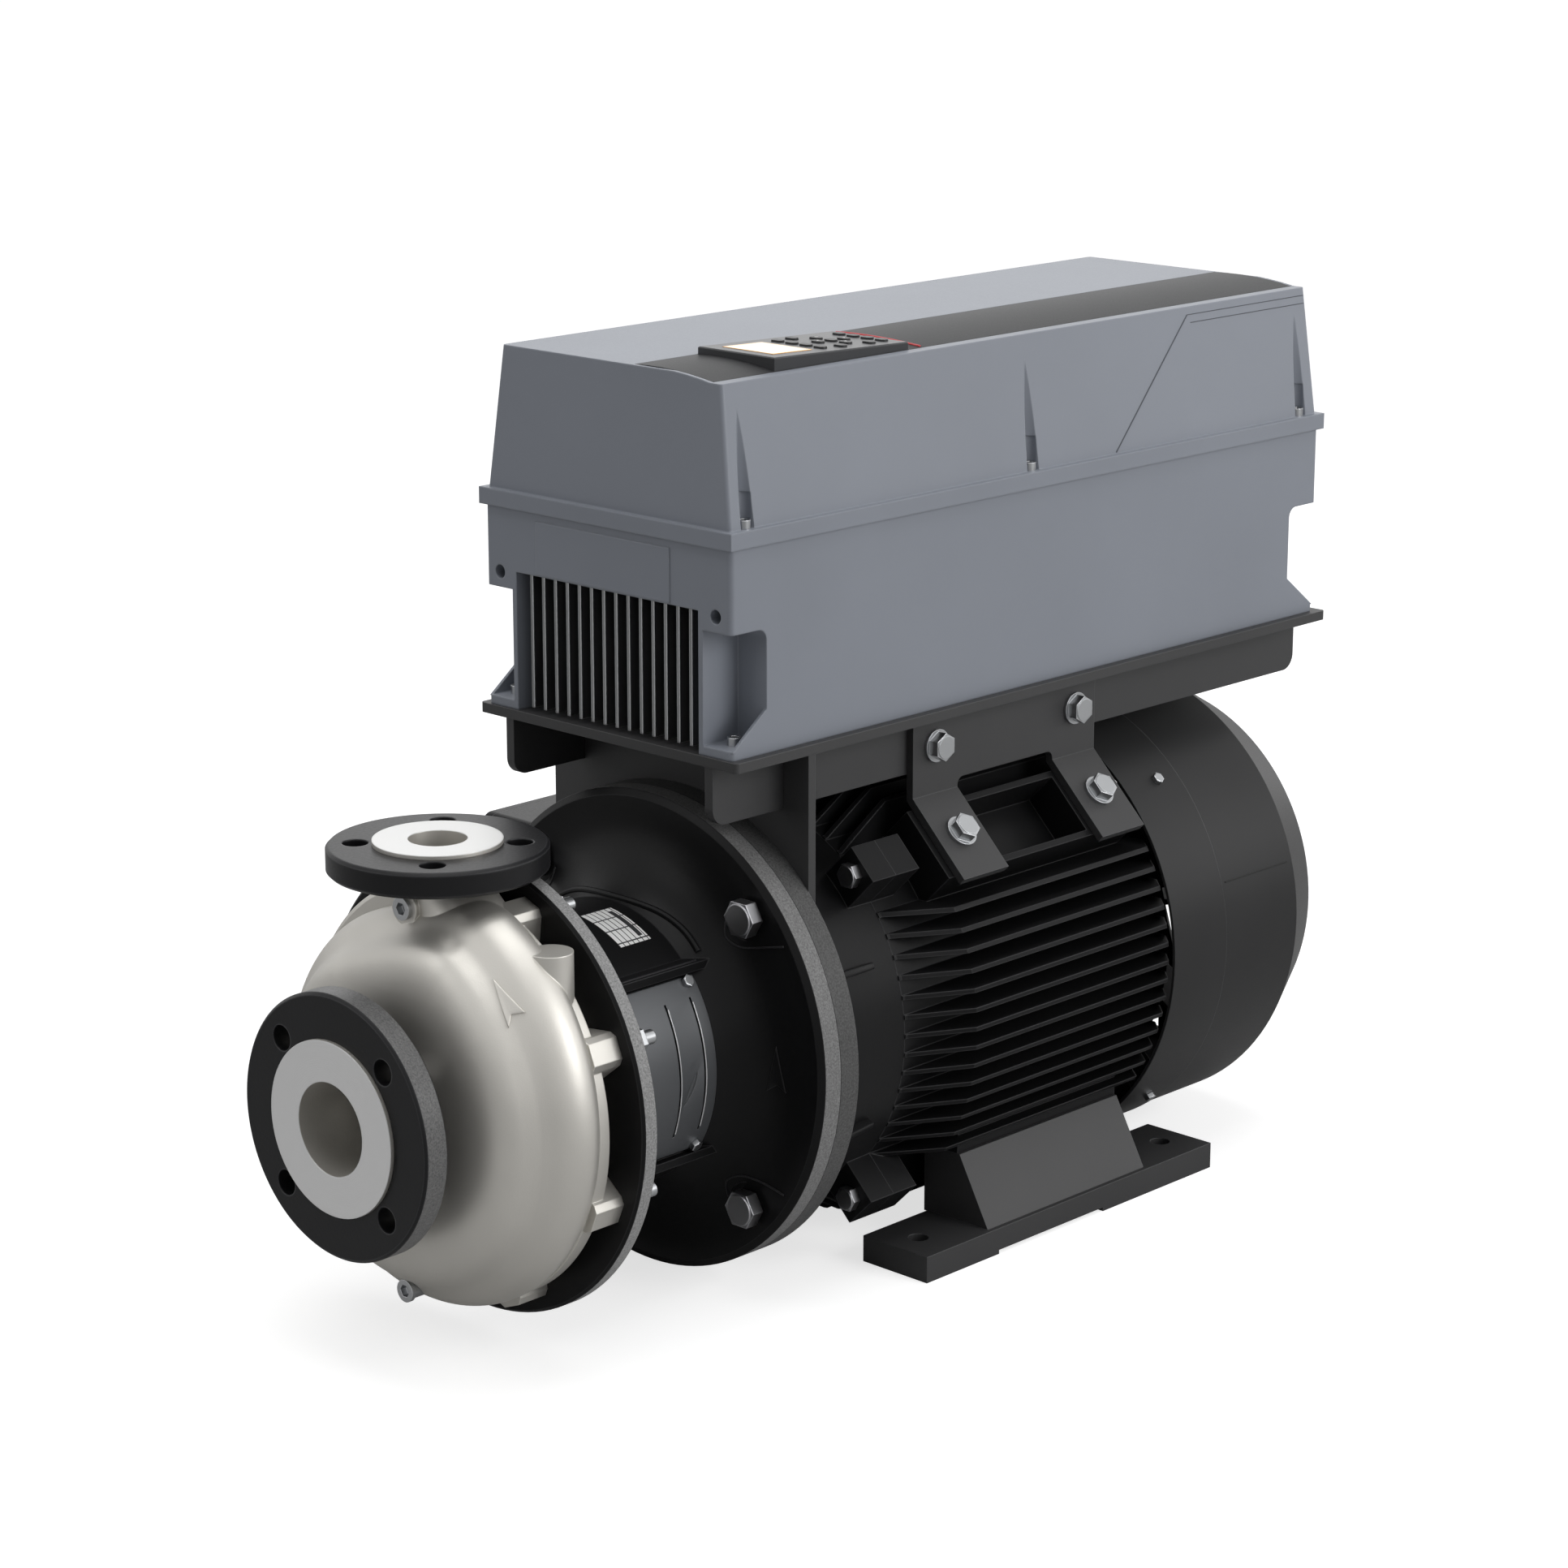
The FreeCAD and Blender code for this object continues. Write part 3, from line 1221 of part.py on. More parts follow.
def make_cowl():
    cowl = new_body("fan_cowl")
    wall = d.cowl_wall
    turn(cowl, "shell", [
        (d.cowl_front, d.cowl_front_radius - wall), (d.cowl_front, d.cowl_front_radius),
        (d.cowl_seam, d.cowl_front_radius), (d.cowl_seam + 1.5, d.cowl_radius),
        (d.cowl_bend, d.cowl_radius), (d.cowl_back, d.cowl_end_radius), (d.cowl_back, 0.0),
        (d.cowl_back - wall, 0.0), (d.cowl_back - wall, d.cowl_end_radius - wall),
        (d.cowl_bend - 1, d.cowl_radius - wall), (d.cowl_seam, d.cowl_radius - wall),
        (d.cowl_seam - 1, d.cowl_front_radius - wall)])
    for name, inner, outer, half, count in (("inner_slot", 34.0, 78.0, 3.0, 20),
                                            ("outer_slot", 88.0, 138.0, 5.0, 28)):
        slot = carve(cowl, name, PLANE_ACROSS, box_corners(inner, -half, outer, half),
                     d.cowl_back - wall - 1, wall + 2)
        repeat_round(cowl, name + "s", slot, count)


def make_fan():
    fan = new_body("cooling_fan")
    bore = d.fan_seat_radius + d.shaft_gap
    front = d.fan_station
    turn(fan, "hub", [
        (front, bore), (front, bore + 14), (front + 2, d.fan_radius * 0.55), (front + 5, d.fan_radius * 0.55),
        (front + 7, bore + 14), (front + d.fan_depth - 8, bore + 12), (front + d.fan_depth - 8, bore)])
    blade = grow(fan, "blade", PLANE_OF_SHAFT,
                 [(front, bore + 8), (front, d.fan_radius - 4), (front + 4, d.fan_radius),
                  (front + d.fan_depth, d.fan_radius - 10), (front + d.fan_depth, d.fan_radius * 0.55),
                  (front + d.fan_depth - 10, bore + 8)], -1.5, 3.0)
    repeat_round(fan, "blades", blade, 9)


def make_wound_stator():
    """Lamination stack with the two coil heads standing out of it."""
    core = turned_shape(box_corners(d.core_front, d.rotor_radius + d.air_gap, d.core_back,
                                    d.frame_bore - d.shaft_gap))
    heads = []
    for start, way in ((d.core_front, -1), (d.core_back, 1)):
        end = start + way * d.coil_length
        inner, outer = d.rotor_radius + 6, d.frame_bore - 14
        heads.append(turned_shape([(start, inner), (start, outer), (end - way * 6, outer - 2),
                                   (end, outer - 9), (end, inner + 9), (end - way * 6, inner + 2)]))
    keep_shape(Part.makeCompound([core] + heads), "wound_stator")


def make_rotor_core():
    rotor = new_body("rotor_core")
    bore = d.motor_shaft_radius + 7 + d.shaft_gap
    turn(rotor, "stack", box_corners(d.core_front, bore, d.core_back, d.rotor_radius))
    turn(rotor, "front_ring", box_corners(d.core_front - 14, d.rotor_radius - 26, d.core_front + 1,
                                          d.rotor_radius - 4))
    turn(rotor, "back_ring", box_corners(d.core_back - 1, d.rotor_radius - 26, d.core_back + 14,
                                         d.rotor_radius - 4))


def bearing_layout():
    """Station, width, bore and outside radius of each ball bearing."""
    front = (d.front_bearing_station, d.front_bearing_width, d.front_bearing_bore, d.front_bearing_radius)
    rear = (d.rear_bearing_station, d.rear_bearing_width, d.rear_bearing_bore, d.rear_bearing_radius)
    return (front, rear)


def make_bearings():
    outers, inners = [], []
    for station, width, bore, outside in bearing_layout():
        pitch = (bore + outside) / 2
        ball = (outside - bore) * 0.28
        middle = station + width / 2
        track = Part.makeTorus(pitch, ball + d.ball_fit, Vector(0, middle, 0), Vector(0, 1, 0))
        lip = ball * 0.6
        outer = turned_shape(box_corners(station, pitch + lip, station + width, outside - d.shaft_gap))
        inner = turned_shape(box_corners(station, bore + d.shaft_gap, station + width, pitch - lip))
        outers.append(outer.cut(track))
        inners.append(inner.cut(track))
        outers += [Part.makeSphere(ball, shaft_point(45 * i, pitch, middle)) for i in range(8)]
    keep_shape(Part.makeCompound(outers), "bearing_outer_races")
    keep_shape(Part.makeCompound(inners), "bearing_inner_races")


def make_foot(label, side):
    foot = new_body(label)
    sole = -d.shaft_height
    middle = d.pump_length + d.flange_to_foot + d.foot_pitch_along / 2
    front = middle - d.foot_length / 2
    plate = [(side * d.foot_inner, sole), (side * d.foot_outer, sole), (side * d.foot_outer, foot_top),
             (side * d.foot_inner, foot_top)]
    grow(foot, "plate", PLANE_ACROSS, plate, front, d.foot_length)
    crown = -d.foot_block_top
    block_outline = [(side * d.foot_block_inner, foot_top - 1), (side * d.foot_block_base, foot_top - 1),
                     (side * d.foot_block_base, foot_top), (side * d.foot_block_crown, crown),
                     (side * d.foot_block_inner, crown)]
    grow(foot, "block", PLANE_ACROSS, block_outline, d.foot_block_back - d.foot_block_length,
         d.foot_block_length)
    relief_front = middle - 85.0
    relief = box_corners(-FAR, relief_front, FAR, relief_front + d.foot_relief_length)
    carve(foot, "relief", PLANE_LEVEL, relief, sole - 1, d.foot_relief + 1)
    across = side * d.foot_pitch_across / 2
    holes = [(across, middle + way * d.foot_pitch_along / 2, d.foot_hole_dia / 2) for way in (-1, 1)]
    drill(foot, "bolt_holes", PLANE_LEVEL, holes, sole - 1, d.foot_thick + 2)
    screws = [(side * (d.foot_block_inner + 14), station, d.m10_radius + d.hole_gap)
              for station in (d.foot_block_back - 30, d.foot_block_back - d.foot_block_length + 30)]
    drill(foot, "screw_holes", PLANE_LEVEL, screws, sole - 1, 30.0)


def make_terminal_box():
    box = new_body("terminal_box")
    inner_face, outer_face = -d.box_face, -d.box_face - d.box_depth
    half = d.box_half_height
    back = d.box_front + d.box_length
    grow(box, "box", PLANE_ACROSS, box_corners(outer_face, -half, inner_face, half), d.box_front,
         d.box_length)
    round_edges(box, "corners", lambda edge: runs_along(edge, 0), Size(10.0, "10"))
    wall = d.box_wall
    hollow = box_corners(d.box_front + wall, -half + wall, back - wall, half - wall)
    carve(box, "hollow", PLANE_OF_SHAFT, hollow, outer_face - 1, d.box_depth - wall + 1)
    glands = new_sketch(box, "gland_outline", PLANE_LEVEL, -half - 6)
    middle = d.box_front + d.box_length / 2
    for offset in (-34.0, 34.0):
        draw_circle(glands, (inner_face + outer_face) / 2, middle + offset, 16.0)
    pad = box.newObject("PartDesign::Pad", "gland_plugs")
    pad.Profile = glands
    pad.Length = 8.0
    lid = new_body("terminal_box_lid")
    grow(lid, "plate", PLANE_ACROSS, box_corners(outer_face - d.lid_thick, -half, outer_face, half),
         d.box_front, d.box_length)
    round_edges(lid, "corners", lambda edge: runs_along(edge, 0), Size(10.0, "10"))


# Tray, support and brackets that carry the drive

def make_tray():
    tray = new_body("tray_plate")
    half = d.tray_half_width
    grow(tray, "plate", PLANE_LEVEL, box_corners(-half, d.tray_front, half, d.tray_back),
         d.tray_bottom, d.tray_thick)
    round_edges(tray, "corners", lambda edge: runs_along(edge, 2), Size(3.0, "3"))
    holes = [(way * (d.drive_half_width - 13), station, d.m6_radius + d.hole_gap)
             for way in (-1, 1) for station in (d.drive_front + 16, d.drive_back - 16)]
    drill(tray, "ear_holes", PLANE_LEVEL, holes, d.tray_bottom - 1, d.tray_thick + 2)
    rails = new_body("tray_rails")
    front = d.tray_front + d.rail_inset
    length = d.tray_back - d.tray_front - d.rail_inset - 7
    inner = d.rail_outer - d.rail_thick
    low = d.tray_bottom - d.rail_depth
    grow(rails, "rail", PLANE_OF_SHAFT,
         [(front, d.tray_bottom), (front, low + d.rail_corner, d.rail_corner), (front + d.rail_corner, low),
          (front + length - d.rail_corner, low, d.rail_corner), (front + length, low + d.rail_corner),
          (front + length, d.tray_bottom)], inner, d.rail_thick)
    holes = [(station, d.tray_bottom - 24, d.m12_radius + d.hole_gap) for station in bracket_stations()]
    drilled = drill(rails, "bolt_holes", PLANE_OF_SHAFT, holes, inner - 1, d.rail_thick + 2)
    mirror(rails, "far_rail", [rails.Group[1], drilled], PLANE_OF_SHAFT)


def bracket_stations():
    half = d.bracket_leg / 2
    return (d.bracket_front + half, d.bracket_front + d.bracket_length - half)


def make_front_support():
    support = new_body("front_support")
    start = d.pump_length + d.motor_flange_thick
    half = d.support_half_width
    grow(support, "plate", PLANE_ACROSS, box_corners(-half, d.support_bottom, half, d.tray_bottom),
         start, d.support_thick)
    drill(support, "arch", PLANE_ACROSS, [(0.0, 0.0, d.shield_radius + 3.5)], start - 1, d.support_thick + 2)
    gap = d.seat_gap
    low = d.tray_bottom - d.rail_depth - gap
    notch = box_corners(d.rail_outer - d.rail_thick - gap, low, d.rail_outer + gap, d.tray_bottom + 5)
    cut = carve(support, "rail_notch", PLANE_ACROSS, notch, start - 1, d.support_thick + 2)
    mirror(support, "far_rail_notch", [cut], PLANE_OF_SHAFT)


def make_bracket(label, side):
    """A bent sheet: bolted to the rail above, two legs at 45 degrees onto the motor pads."""
    bracket = new_body(label)
    inner, thick = d.rail_outer, d.bracket_thick
    outer = inner + thick
    bend, drop = d.bracket_bend, d.bracket_drop
    shift = thick * (math.sqrt(2.0) - 1)
    profile = [(inner, d.tray_bottom), (inner, bend - shift), (inner + drop + shift, bend - drop - 2 * shift),
               (inner + drop + shift + thick * DIAGONAL, bend - drop - 2 * shift + thick * DIAGONAL),
               (outer, bend), (outer, d.tray_bottom)]
    outline = [(side * u, v) for u, v in profile]
    grow(bracket, "sheet", PLANE_ACROSS, outline, d.bracket_front, d.bracket_length)
    window_front = d.bracket_front + d.bracket_leg
    window_back = d.bracket_front + d.bracket_length - d.bracket_leg
    top, radius = d.bracket_window_top, 6.0
    window = [(window_front, -FAR), (window_back, -FAR), (window_back, top - radius, radius),
              (window_back - radius, top), (window_front + radius, top, radius), (window_front, top - radius)]
    carve(bracket, "window", PLANE_OF_SHAFT, window, -FAR, 2 * FAR)
    holes = [(station, d.tray_bottom - 24, d.m12_radius + d.hole_gap) for station in bracket_stations()]
    drill(bracket, "rail_holes", PLANE_OF_SHAFT, holes, -FAR, 2 * FAR)
    legs = [(station, 0.0, d.m12_radius + d.hole_gap) for station in bracket_stations()]
    drill_slanted(bracket, "leg_holes", side, legs, leg_reach - d.bracket_thick - 3, 20.0)
    return bracket


def leg_bolt_seat(side, station):
    """Where a leg bolt bears: on the outer face of the sloping leg."""
    reach = d.rail_outer + d.bracket_thick + d.bracket_drop / 2
    level = d.bracket_bend - d.bracket_drop / 2
    return Vector(side * reach, station, level)


def make_bolts():
    bolts = []
    for angle in boss_angles():
        seat = casing_bolt_place(angle, ring_back)
        nut = hex_screw(seat, Vector(0, 1, 0), d.m12_radius, d.m12_flats, d.stud_nut,
                        d.stool_ring_thick + 18, d.washer_thick, d.washer_radius)
        end = rod(seat, Vector(0, 1, 0), d.m12_radius - 0.9, d.stud_reach)
        bolts.append(nut.fuse(end).removeSplitter())
    for side in (-1, 1):
        for station in bracket_stations():
            face = Vector(side * (d.rail_outer + d.bracket_thick), station, d.tray_bottom - 24)
            way = Vector(side, 0, 0)
            upper = hex_screw(face, way, d.m12_radius, d.m12_flats, d.m12_head,
                              d.bracket_thick + d.rail_thick + 14, d.washer_thick, d.washer_radius)
            inside = face - way * (d.bracket_thick + d.rail_thick)
            nut = hex_prism(d.m12_flats, d.m12_head + 2, inside, -way)
            bolts.append(upper.fuse(nut).removeSplitter())
            seat = leg_bolt_seat(side, station)
            bolts.append(hex_screw(seat, Vector(side, 0, 1), d.m12_radius, d.m12_flats, d.m12_head, 18.0,
                                   d.washer_thick, d.washer_radius))
    keep_shape(Part.makeCompound(bolts), "m12_bolts")
    reach = d.motor_pitch_radius
    seat_station = d.pump_length - d.stool_flange_thick - 3
    stool_bolts = [hex_screw(shaft_point(angle, reach, seat_station), Vector(0, -1, 0), d.m16_radius,
                             d.m16_flats, d.m16_head, d.stool_flange_thick + d.motor_flange_thick - 2)
                   for angle in corner_angles()]
    keep_shape(Part.makeCompound(stool_bolts), "stool_bolts")
    lug = d.lug_radius - 13.0
    shield_bolts = [hex_screw(shaft_point(angle, lug, d.frame_front - d.lug_length), Vector(0, -1, 0),
                              d.m10_radius, d.m10_flats, d.m10_head, d.lug_length * 2 - 6)
                    for angle in corner_angles()]
    keep_shape(Part.makeCompound(shield_bolts), "end_shield_bolts")


def make_small_screws():
    """M5 screws of the guards, the cowl and the terminal box lid."""
    screws = []
    radius = d.barrel_radius + d.seat_gap + d.guard_thick
    for angle, station in guard_screw_places():
        seat = shaft_point(angle, radius, station)
        screws.append(hex_screw(seat, shaft_point(angle, 1.0, 0.0), d.m5_radius, d.m5_flats, d.m5_head, 0.0))
    for angle in corner_angles():
        seat = shaft_point(angle, d.cowl_front_radius, cowl_screw_station())
        screws.append(hex_screw(seat, shaft_point(angle, 1.0, 0.0), d.m5_radius, d.m5_flats, d.m5_head, 0.0))
    lid_face = -d.box_face - d.box_depth - d.lid_thick
    for station in (d.box_front + 14, d.box_front + d.box_length - 14):
        for level in (-d.box_half_height + 14, d.box_half_height - 14):
            screws.append(hex_screw(Vector(lid_face, station, level), Vector(-1, 0, 0), d.m5_radius,
                                    d.m5_flats, d.m5_head, 0.0))
    keep_shape(Part.makeCompound(screws), "m5_screws")


# Variable-speed drive

def make_heatsink():
    sink = new_body("heatsink")
    front = d.drive_front + d.sink_inset
    length = d.sink_back - front
    half = d.tunnel_half_width - d.seat_gap
    top = tray_top + d.tunnel_height - d.seat_gap
    grow(sink, "base", PLANE_ACROSS, box_corners(-half, top - d.sink_base, half, top),
         front + d.sink_setback, length - d.sink_setback)
    first = -(d.sink_fin_count - 1) / 2 * d.sink_fin_pitch - d.sink_fin_thick / 2
    fin = grow(sink, "fin", PLANE_OF_SHAFT,
               box_corners(front, tray_top + 3, d.sink_back, top), first, d.sink_fin_thick)
    repeat_along(sink, "fins", fin, "X_Axis", d.sink_fin_pitch, DIMS["sink_fin_count"])


def make_drive_body():
    body = new_body("drive_body")
    half = d.drive_half_width
    tunnel = d.tunnel_half_width
    roof = tray_top + d.tunnel_height
    grow(body, "housing", PLANE_ACROSS,
         [(-half, tray_top), (-tunnel, tray_top), (-tunnel, roof), (tunnel, roof), (tunnel, tray_top),
          (half, tray_top), (half, drive_top), (-half, drive_top)],
         d.drive_front, d.drive_back - d.drive_front)
    round_edges(body, "corner_rounds", outer_uprights, d.drive_edge)
    floor = tray_top + d.pocket_floor
    roof_of_pocket = tray_top + d.pocket_top
    reach = d.drive_half_width - d.pocket_inner + 10
    front = d.drive_front
    inner = front + d.pocket_depth
    scoop = 8.0
    pocket = [(front - 5, floor), (inner, floor), (inner, roof_of_pocket - scoop, scoop),
              (inner - scoop, roof_of_pocket), (front - 5, roof_of_pocket)]
    gusset = [(front + 1, floor - 1), (inner + 1, floor - 1), (inner + 1, floor + 25)]
    near = carve(body, "front_pocket", PLANE_OF_SHAFT, pocket, d.pocket_inner, reach)
    near_web = grow(body, "front_gusset", PLANE_OF_SHAFT, gusset, half - 2.5, 2.5)
    far_end = d.drive_front + d.drive_back
    turned = [(far_end - corner[0], corner[1]) for corner in reversed(pocket)]
    back_pocket = [turned[0], turned[1] + (scoop,), turned[2], turned[3], turned[4]]
    back = carve(body, "back_pocket", PLANE_OF_SHAFT, back_pocket, d.pocket_inner, reach)
    back_web = grow(body, "back_gusset", PLANE_OF_SHAFT, [(far_end - u, v) for u, v in gusset],
                    half - 2.5, 2.5)
    mirror(body, "far_pockets", [near, near_web, back, back_web], PLANE_OF_SHAFT)
    mouth = [(side * 106.5, roof - 2, 5.0) for side in (-1, 1)]
    drill(body, "lifting_holes", PLANE_ACROSS, mouth, front - 1, 30.0)
    label = box_corners(-69.0, roof + 1, 63.5, drive_top - 6)
    grow(body, "label_plate", PLANE_ACROSS, label, front - 0.8, 2.0)
    ears = [(way * (half - 13), station, d.m6_radius + d.hole_gap)
            for way in (-1, 1) for station in (d.drive_front + 16, d.drive_back - 16)]
    drill(body, "ear_holes", PLANE_LEVEL, ears, tray_top - 1, d.pocket_floor + 2)
    add_fan_frame(body, roof)


def outer_uprights(edge):
    """Upright outer corners of the drive housing."""
    if not runs_along(edge, 2):
        return False
    return abs(abs(edge.CenterOfMass.x) - d.drive_half_width) < 0.1


def drive_fan_height(roof):
    return (tray_top + roof) / 2


def add_fan_frame(body, roof):
    """A wall with a round opening and three arms that carry the pin of the drive's fan."""
    back = d.drive_back - 12
    half = d.tunnel_half_width
    wall = grow(body, "fan_wall", PLANE_ACROSS, box_corners(-half, tray_top, half, roof), back - 4, 4.0)
    level = drive_fan_height(roof)
    drill(body, "fan_opening", PLANE_ACROSS, [(0.0, level, d.drive_fan_radius + 1.5)], back - 5, 6.0)
    arm = box_corners(-3.0, level, 3.0, level + d.drive_fan_radius + 3)
    grow(body, "upper_arm", PLANE_ACROSS, arm, back - 3, 3.0)
    cross = box_corners(-d.drive_fan_radius - 3, level - 3, d.drive_fan_radius + 3, level + 3)
    grow(body, "cross_arm", PLANE_ACROSS, cross, back - 3, 3.0)
    pin = new_sketch(body, "pin_outline", PLANE_ACROSS, back - 3)
    draw_circle(pin, 0.0, level, d.drive_fan_pin)
    post = body.newObject("PartDesign::Pad", "pin")
    post.Profile = pin
    post.Length = 17.0
    post.Reversed = False
    return wall


def make_drive_fan():
    """Axial fan that blows through the heat sink, turning on its own pin."""
    roof = tray_top + d.tunnel_height
    back = d.drive_back - 12
    front = back - 24
    level = drive_fan_height(roof)
    axis = Vector(0, 1, 0)
    centre = Vector(0, front, level)
    hub = rod(centre, axis, 15.0, 20.0)
    blades = []
    for index in range(7):
        blade = block(10, -1, -9, d.drive_fan_radius, 1, 9)
        blade.rotate(Vector(0, 0, 0), Vector(1, 0, 0), 52)
        blade.translate(Vector(0, 10, 0))
        blade.rotate(Vector(0, 0, 0), axis, index * 360.0 / 7)
        blade.translate(centre)
        blades.append(blade)
    fan = hub.fuse(blades).cut(rod(centre + Vector(0, 3, 0), axis, d.drive_fan_pin + d.shaft_gap, 30))
    limit = rod(centre, axis, d.drive_fan_radius, 20)
    keep_shape(fan.common(limit).removeSplitter(), "heatsink_fan")


def make_drive_cover():
    cover = new_body("drive_cover")
    half, proud = d.drive_half_width, d.lip_proud
    front, back = d.drive_front, d.drive_back
    grow(cover, "lip", PLANE_LEVEL, box_corners(-half - proud, front - proud, half + proud, back + proud),
         drive_top, d.lip_height)
    foot, side, end = half - d.cover_foot_inset, half - d.cover_side_draft, d.cover_end_draft
    grow(cover, "hood", PLANE_ACROSS,
         [(-foot, cover_base), (foot, cover_base), (side, cover_top), (-side, cover_top)],
         front, back - front)
    rake = [(front - 1, cover_base), (front + 1, cover_base), (front + end, cover_top),
            (front + end, cover_top + 1), (front - 1, cover_top + 1)]
    carve(cover, "front_rake", PLANE_OF_SHAFT, rake, -FAR, 2 * FAR)
    carve(cover, "back_rake", PLANE_OF_SHAFT, [(front + back - u, v) for u, v in rake], -FAR, 2 * FAR)
    round_edges(cover, "edges", hood_edge, d.cover_edge)
    fall = [(d.strip_left, cover_top, -strip_bow()), (d.strip_right, cover_top - d.strip_fall),
            (FAR, cover_top - d.strip_fall - 1), (FAR, cover_top + 50), (d.strip_left, cover_top + 50)]
    carve(cover, "falling_edge", PLANE_ACROSS, fall, front - 20, back - front + 40)
    seat = box_corners(d.strip_left, cover_top - d.strip_floor, d.strip_right, cover_top + 50)
    wall = d.cover_end_draft + d.strip_wall
    carve(cover, "strip_seat", PLANE_ACROSS, seat, front + wall, back - front - wall * 2)
    slots = [slot_corners(way, station) for way in (-1, 1) for station in slot_stations()]
    carve(cover, "screw_slots", PLANE_LEVEL, slots, cover_base, d.slot_height)
    seats = [(way * d.slot_axis, station, d.slot_radius) for way in (-1, 1) for station in slot_stations()]
    drill(cover, "screw_seats", PLANE_LEVEL, seats, cover_base, 24.0)
    holes = [(u, v, d.m6_radius + d.hole_gap) for u, v, radius in seats]
    drill(cover, "screw_holes", PLANE_LEVEL, holes, drive_top - 1, d.lip_height + 2)


def strip_bow():
    """Radius of the strip's arch, which the cover's end walls follow."""
    width = d.strip_right - d.strip_left
    return width * width / (d.strip_crown * 8)


def slot_corners(way, station):
    """A bullet-shaped slot: its tip lies in the wall, its flanks open outwards."""
    tip, mouth, half = d.slot_axis - d.slot_radius, d.drive_half_width + 2, d.slot_radius + 0.4
    if way > 0:
        return [(tip, station, 14.0), (mouth, station - half), (mouth, station + half, 14.0)]
    return [(-tip, station, 14.0), (-mouth, station + half), (-mouth, station - half, 14.0)]


def slot_stations():
    return (d.drive_front + 18, d.drive_front + 311, d.drive_back - 21)


def hood_edge(edge):
    """The slanted corner edges of the hood, from its foot to its top."""
    if not isinstance(edge.Curve, Part.Line):
        return False
    ends = sorted(vertex.Z for vertex in edge.Vertexes)
    return abs(ends[0] - cover_base) < 0.01 and abs(ends[1] - cover_top) < 0.01


def make_drive_screws():
    screws = []
    for way in (-1, 1):
        for station in slot_stations():
            screws.append(socket_screw(Vector(way * d.slot_axis, station, cover_base), Vector(0, 0, 1), 11.0))
        for station in (d.drive_front + 16, d.drive_back - 16):
            seat = Vector(way * (d.drive_half_width - 13), station, tray_top + d.pocket_floor)
            screws.append(socket_screw(seat, Vector(0, 0, 1), d.pocket_floor + d.tray_thick))
    keep_shape(Part.makeCompound(screws), "m6_socket_screws")


def make_strip():
    """The dark arched strip let into the cover, open where the operating panel sits."""
    strip = new_body("top_strip")
    left, right = d.strip_left + d.seat_gap, d.strip_right - d.seat_gap
    floor = cover_top - d.strip_floor
    wall = d.cover_end_draft + d.strip_wall + d.seat_gap
    front, back = d.drive_front + wall, d.drive_back - wall
    grow(strip, "arch", PLANE_ACROSS,
         [(left, floor), (right, floor), (right, cover_top - d.strip_fall, strip_bow()),
          (left, cover_top)],
         front, back - front)
    gap = d.seat_gap
    opening = box_corners(left + d.panel_inset - gap, d.panel_front - gap,
                          right - d.panel_inset + gap, d.panel_front + d.panel_length + gap)
    carve(strip, "panel_opening", PLANE_LEVEL, opening, floor - 1, 30.0)


def key_layout():
    """Name and middle of each key of the operating panel, front row nearest the display."""
    middle = (d.strip_left + d.strip_right) / 2
    pitch = d.key_pitch
    first = d.panel_front + 62
    last = first + 62
    columns = [middle + pitch * share for share in (-1.5, -0.5, 0.5, 1.5)]
    front_names = ("key_status", "key_quick_menu", "key_main_menu", "key_alarm_log")
    back_names = ("key_hand", "key_off", "key_auto", "key_reset")
    keys = [(name, column, first) for name, column in zip(front_names, columns)]
    keys += [(name, column, last) for name, column in zip(back_names, columns)]
    ring = first + 32
    keys += [("key_back", columns[0] - 3, first + 17), ("key_cancel", columns[3] + 3, first + 17),
             ("key_info", columns[3] + 3, last - 16), ("key_ok", middle, ring),
             ("key_up", middle, ring - 13), ("key_down", middle, ring + 13),
             ("key_left", middle - 14, ring), ("key_right", middle + 14, ring)]
    return keys


def panel_level(station):
    """Height of the panel's top, which falls from the display towards the last keys."""
    slope = (d.panel_proud - d.panel_rear_proud) / d.panel_length
    return cover_top + d.panel_proud - (station - d.panel_front) * slope


def make_panel():
    panel = new_body("control_panel")
    left, right = d.strip_left + d.seat_gap + d.panel_inset, d.strip_right - d.seat_gap - d.panel_inset
    floor = cover_top - d.strip_floor
    top = cover_top + d.panel_proud
    front, back = d.panel_front, d.panel_front + d.panel_length
    grow(panel, "case", PLANE_LEVEL,
         box_corners(left, d.panel_front, right, d.panel_front + d.panel_length), floor, top - floor)
    carve(panel, "top_slope", PLANE_OF_SHAFT, over_panel(front, back, 0.0), -FAR, 2 * FAR)
    bevel_edges(panel, "top_bevel", lambda edge: is_top_rim(edge, cover_top), Size(0.8, "0.8"))
    display = box_corners(left + 12, d.panel_front + 11, right - 12, d.panel_front + 50)
    seat = panel_level(d.panel_front + 50) - 1.5
    carve(panel, "display_seat", PLANE_LEVEL, display, seat, 10.0)
    length, width, gap = d.key_length, d.key_width, d.key_gap
    wells = new_sketch(panel, "key_wells_outline", PLANE_LEVEL, cover_top - d.key_well_depth)
    for name, u, v in key_layout():
        draw_outline(wells, key_corners(u, v, length + 2 * gap, width + 2 * gap))
    carve_sketch(panel, "key_wells", PLANE_LEVEL, wells, 20.0)
    window = new_body("display_window")
    inset = d.seat_gap
    glass = box_corners(left + 12 + inset, d.panel_front + 11 + inset, right - 12 - inset,
                        d.panel_front + 50 - inset)
    grow(window, "glass", PLANE_LEVEL, glass, seat, 6.0)
    carve(window, "glass_slope", PLANE_OF_SHAFT, over_panel(front, back, 0.3), -FAR, 2 * FAR)


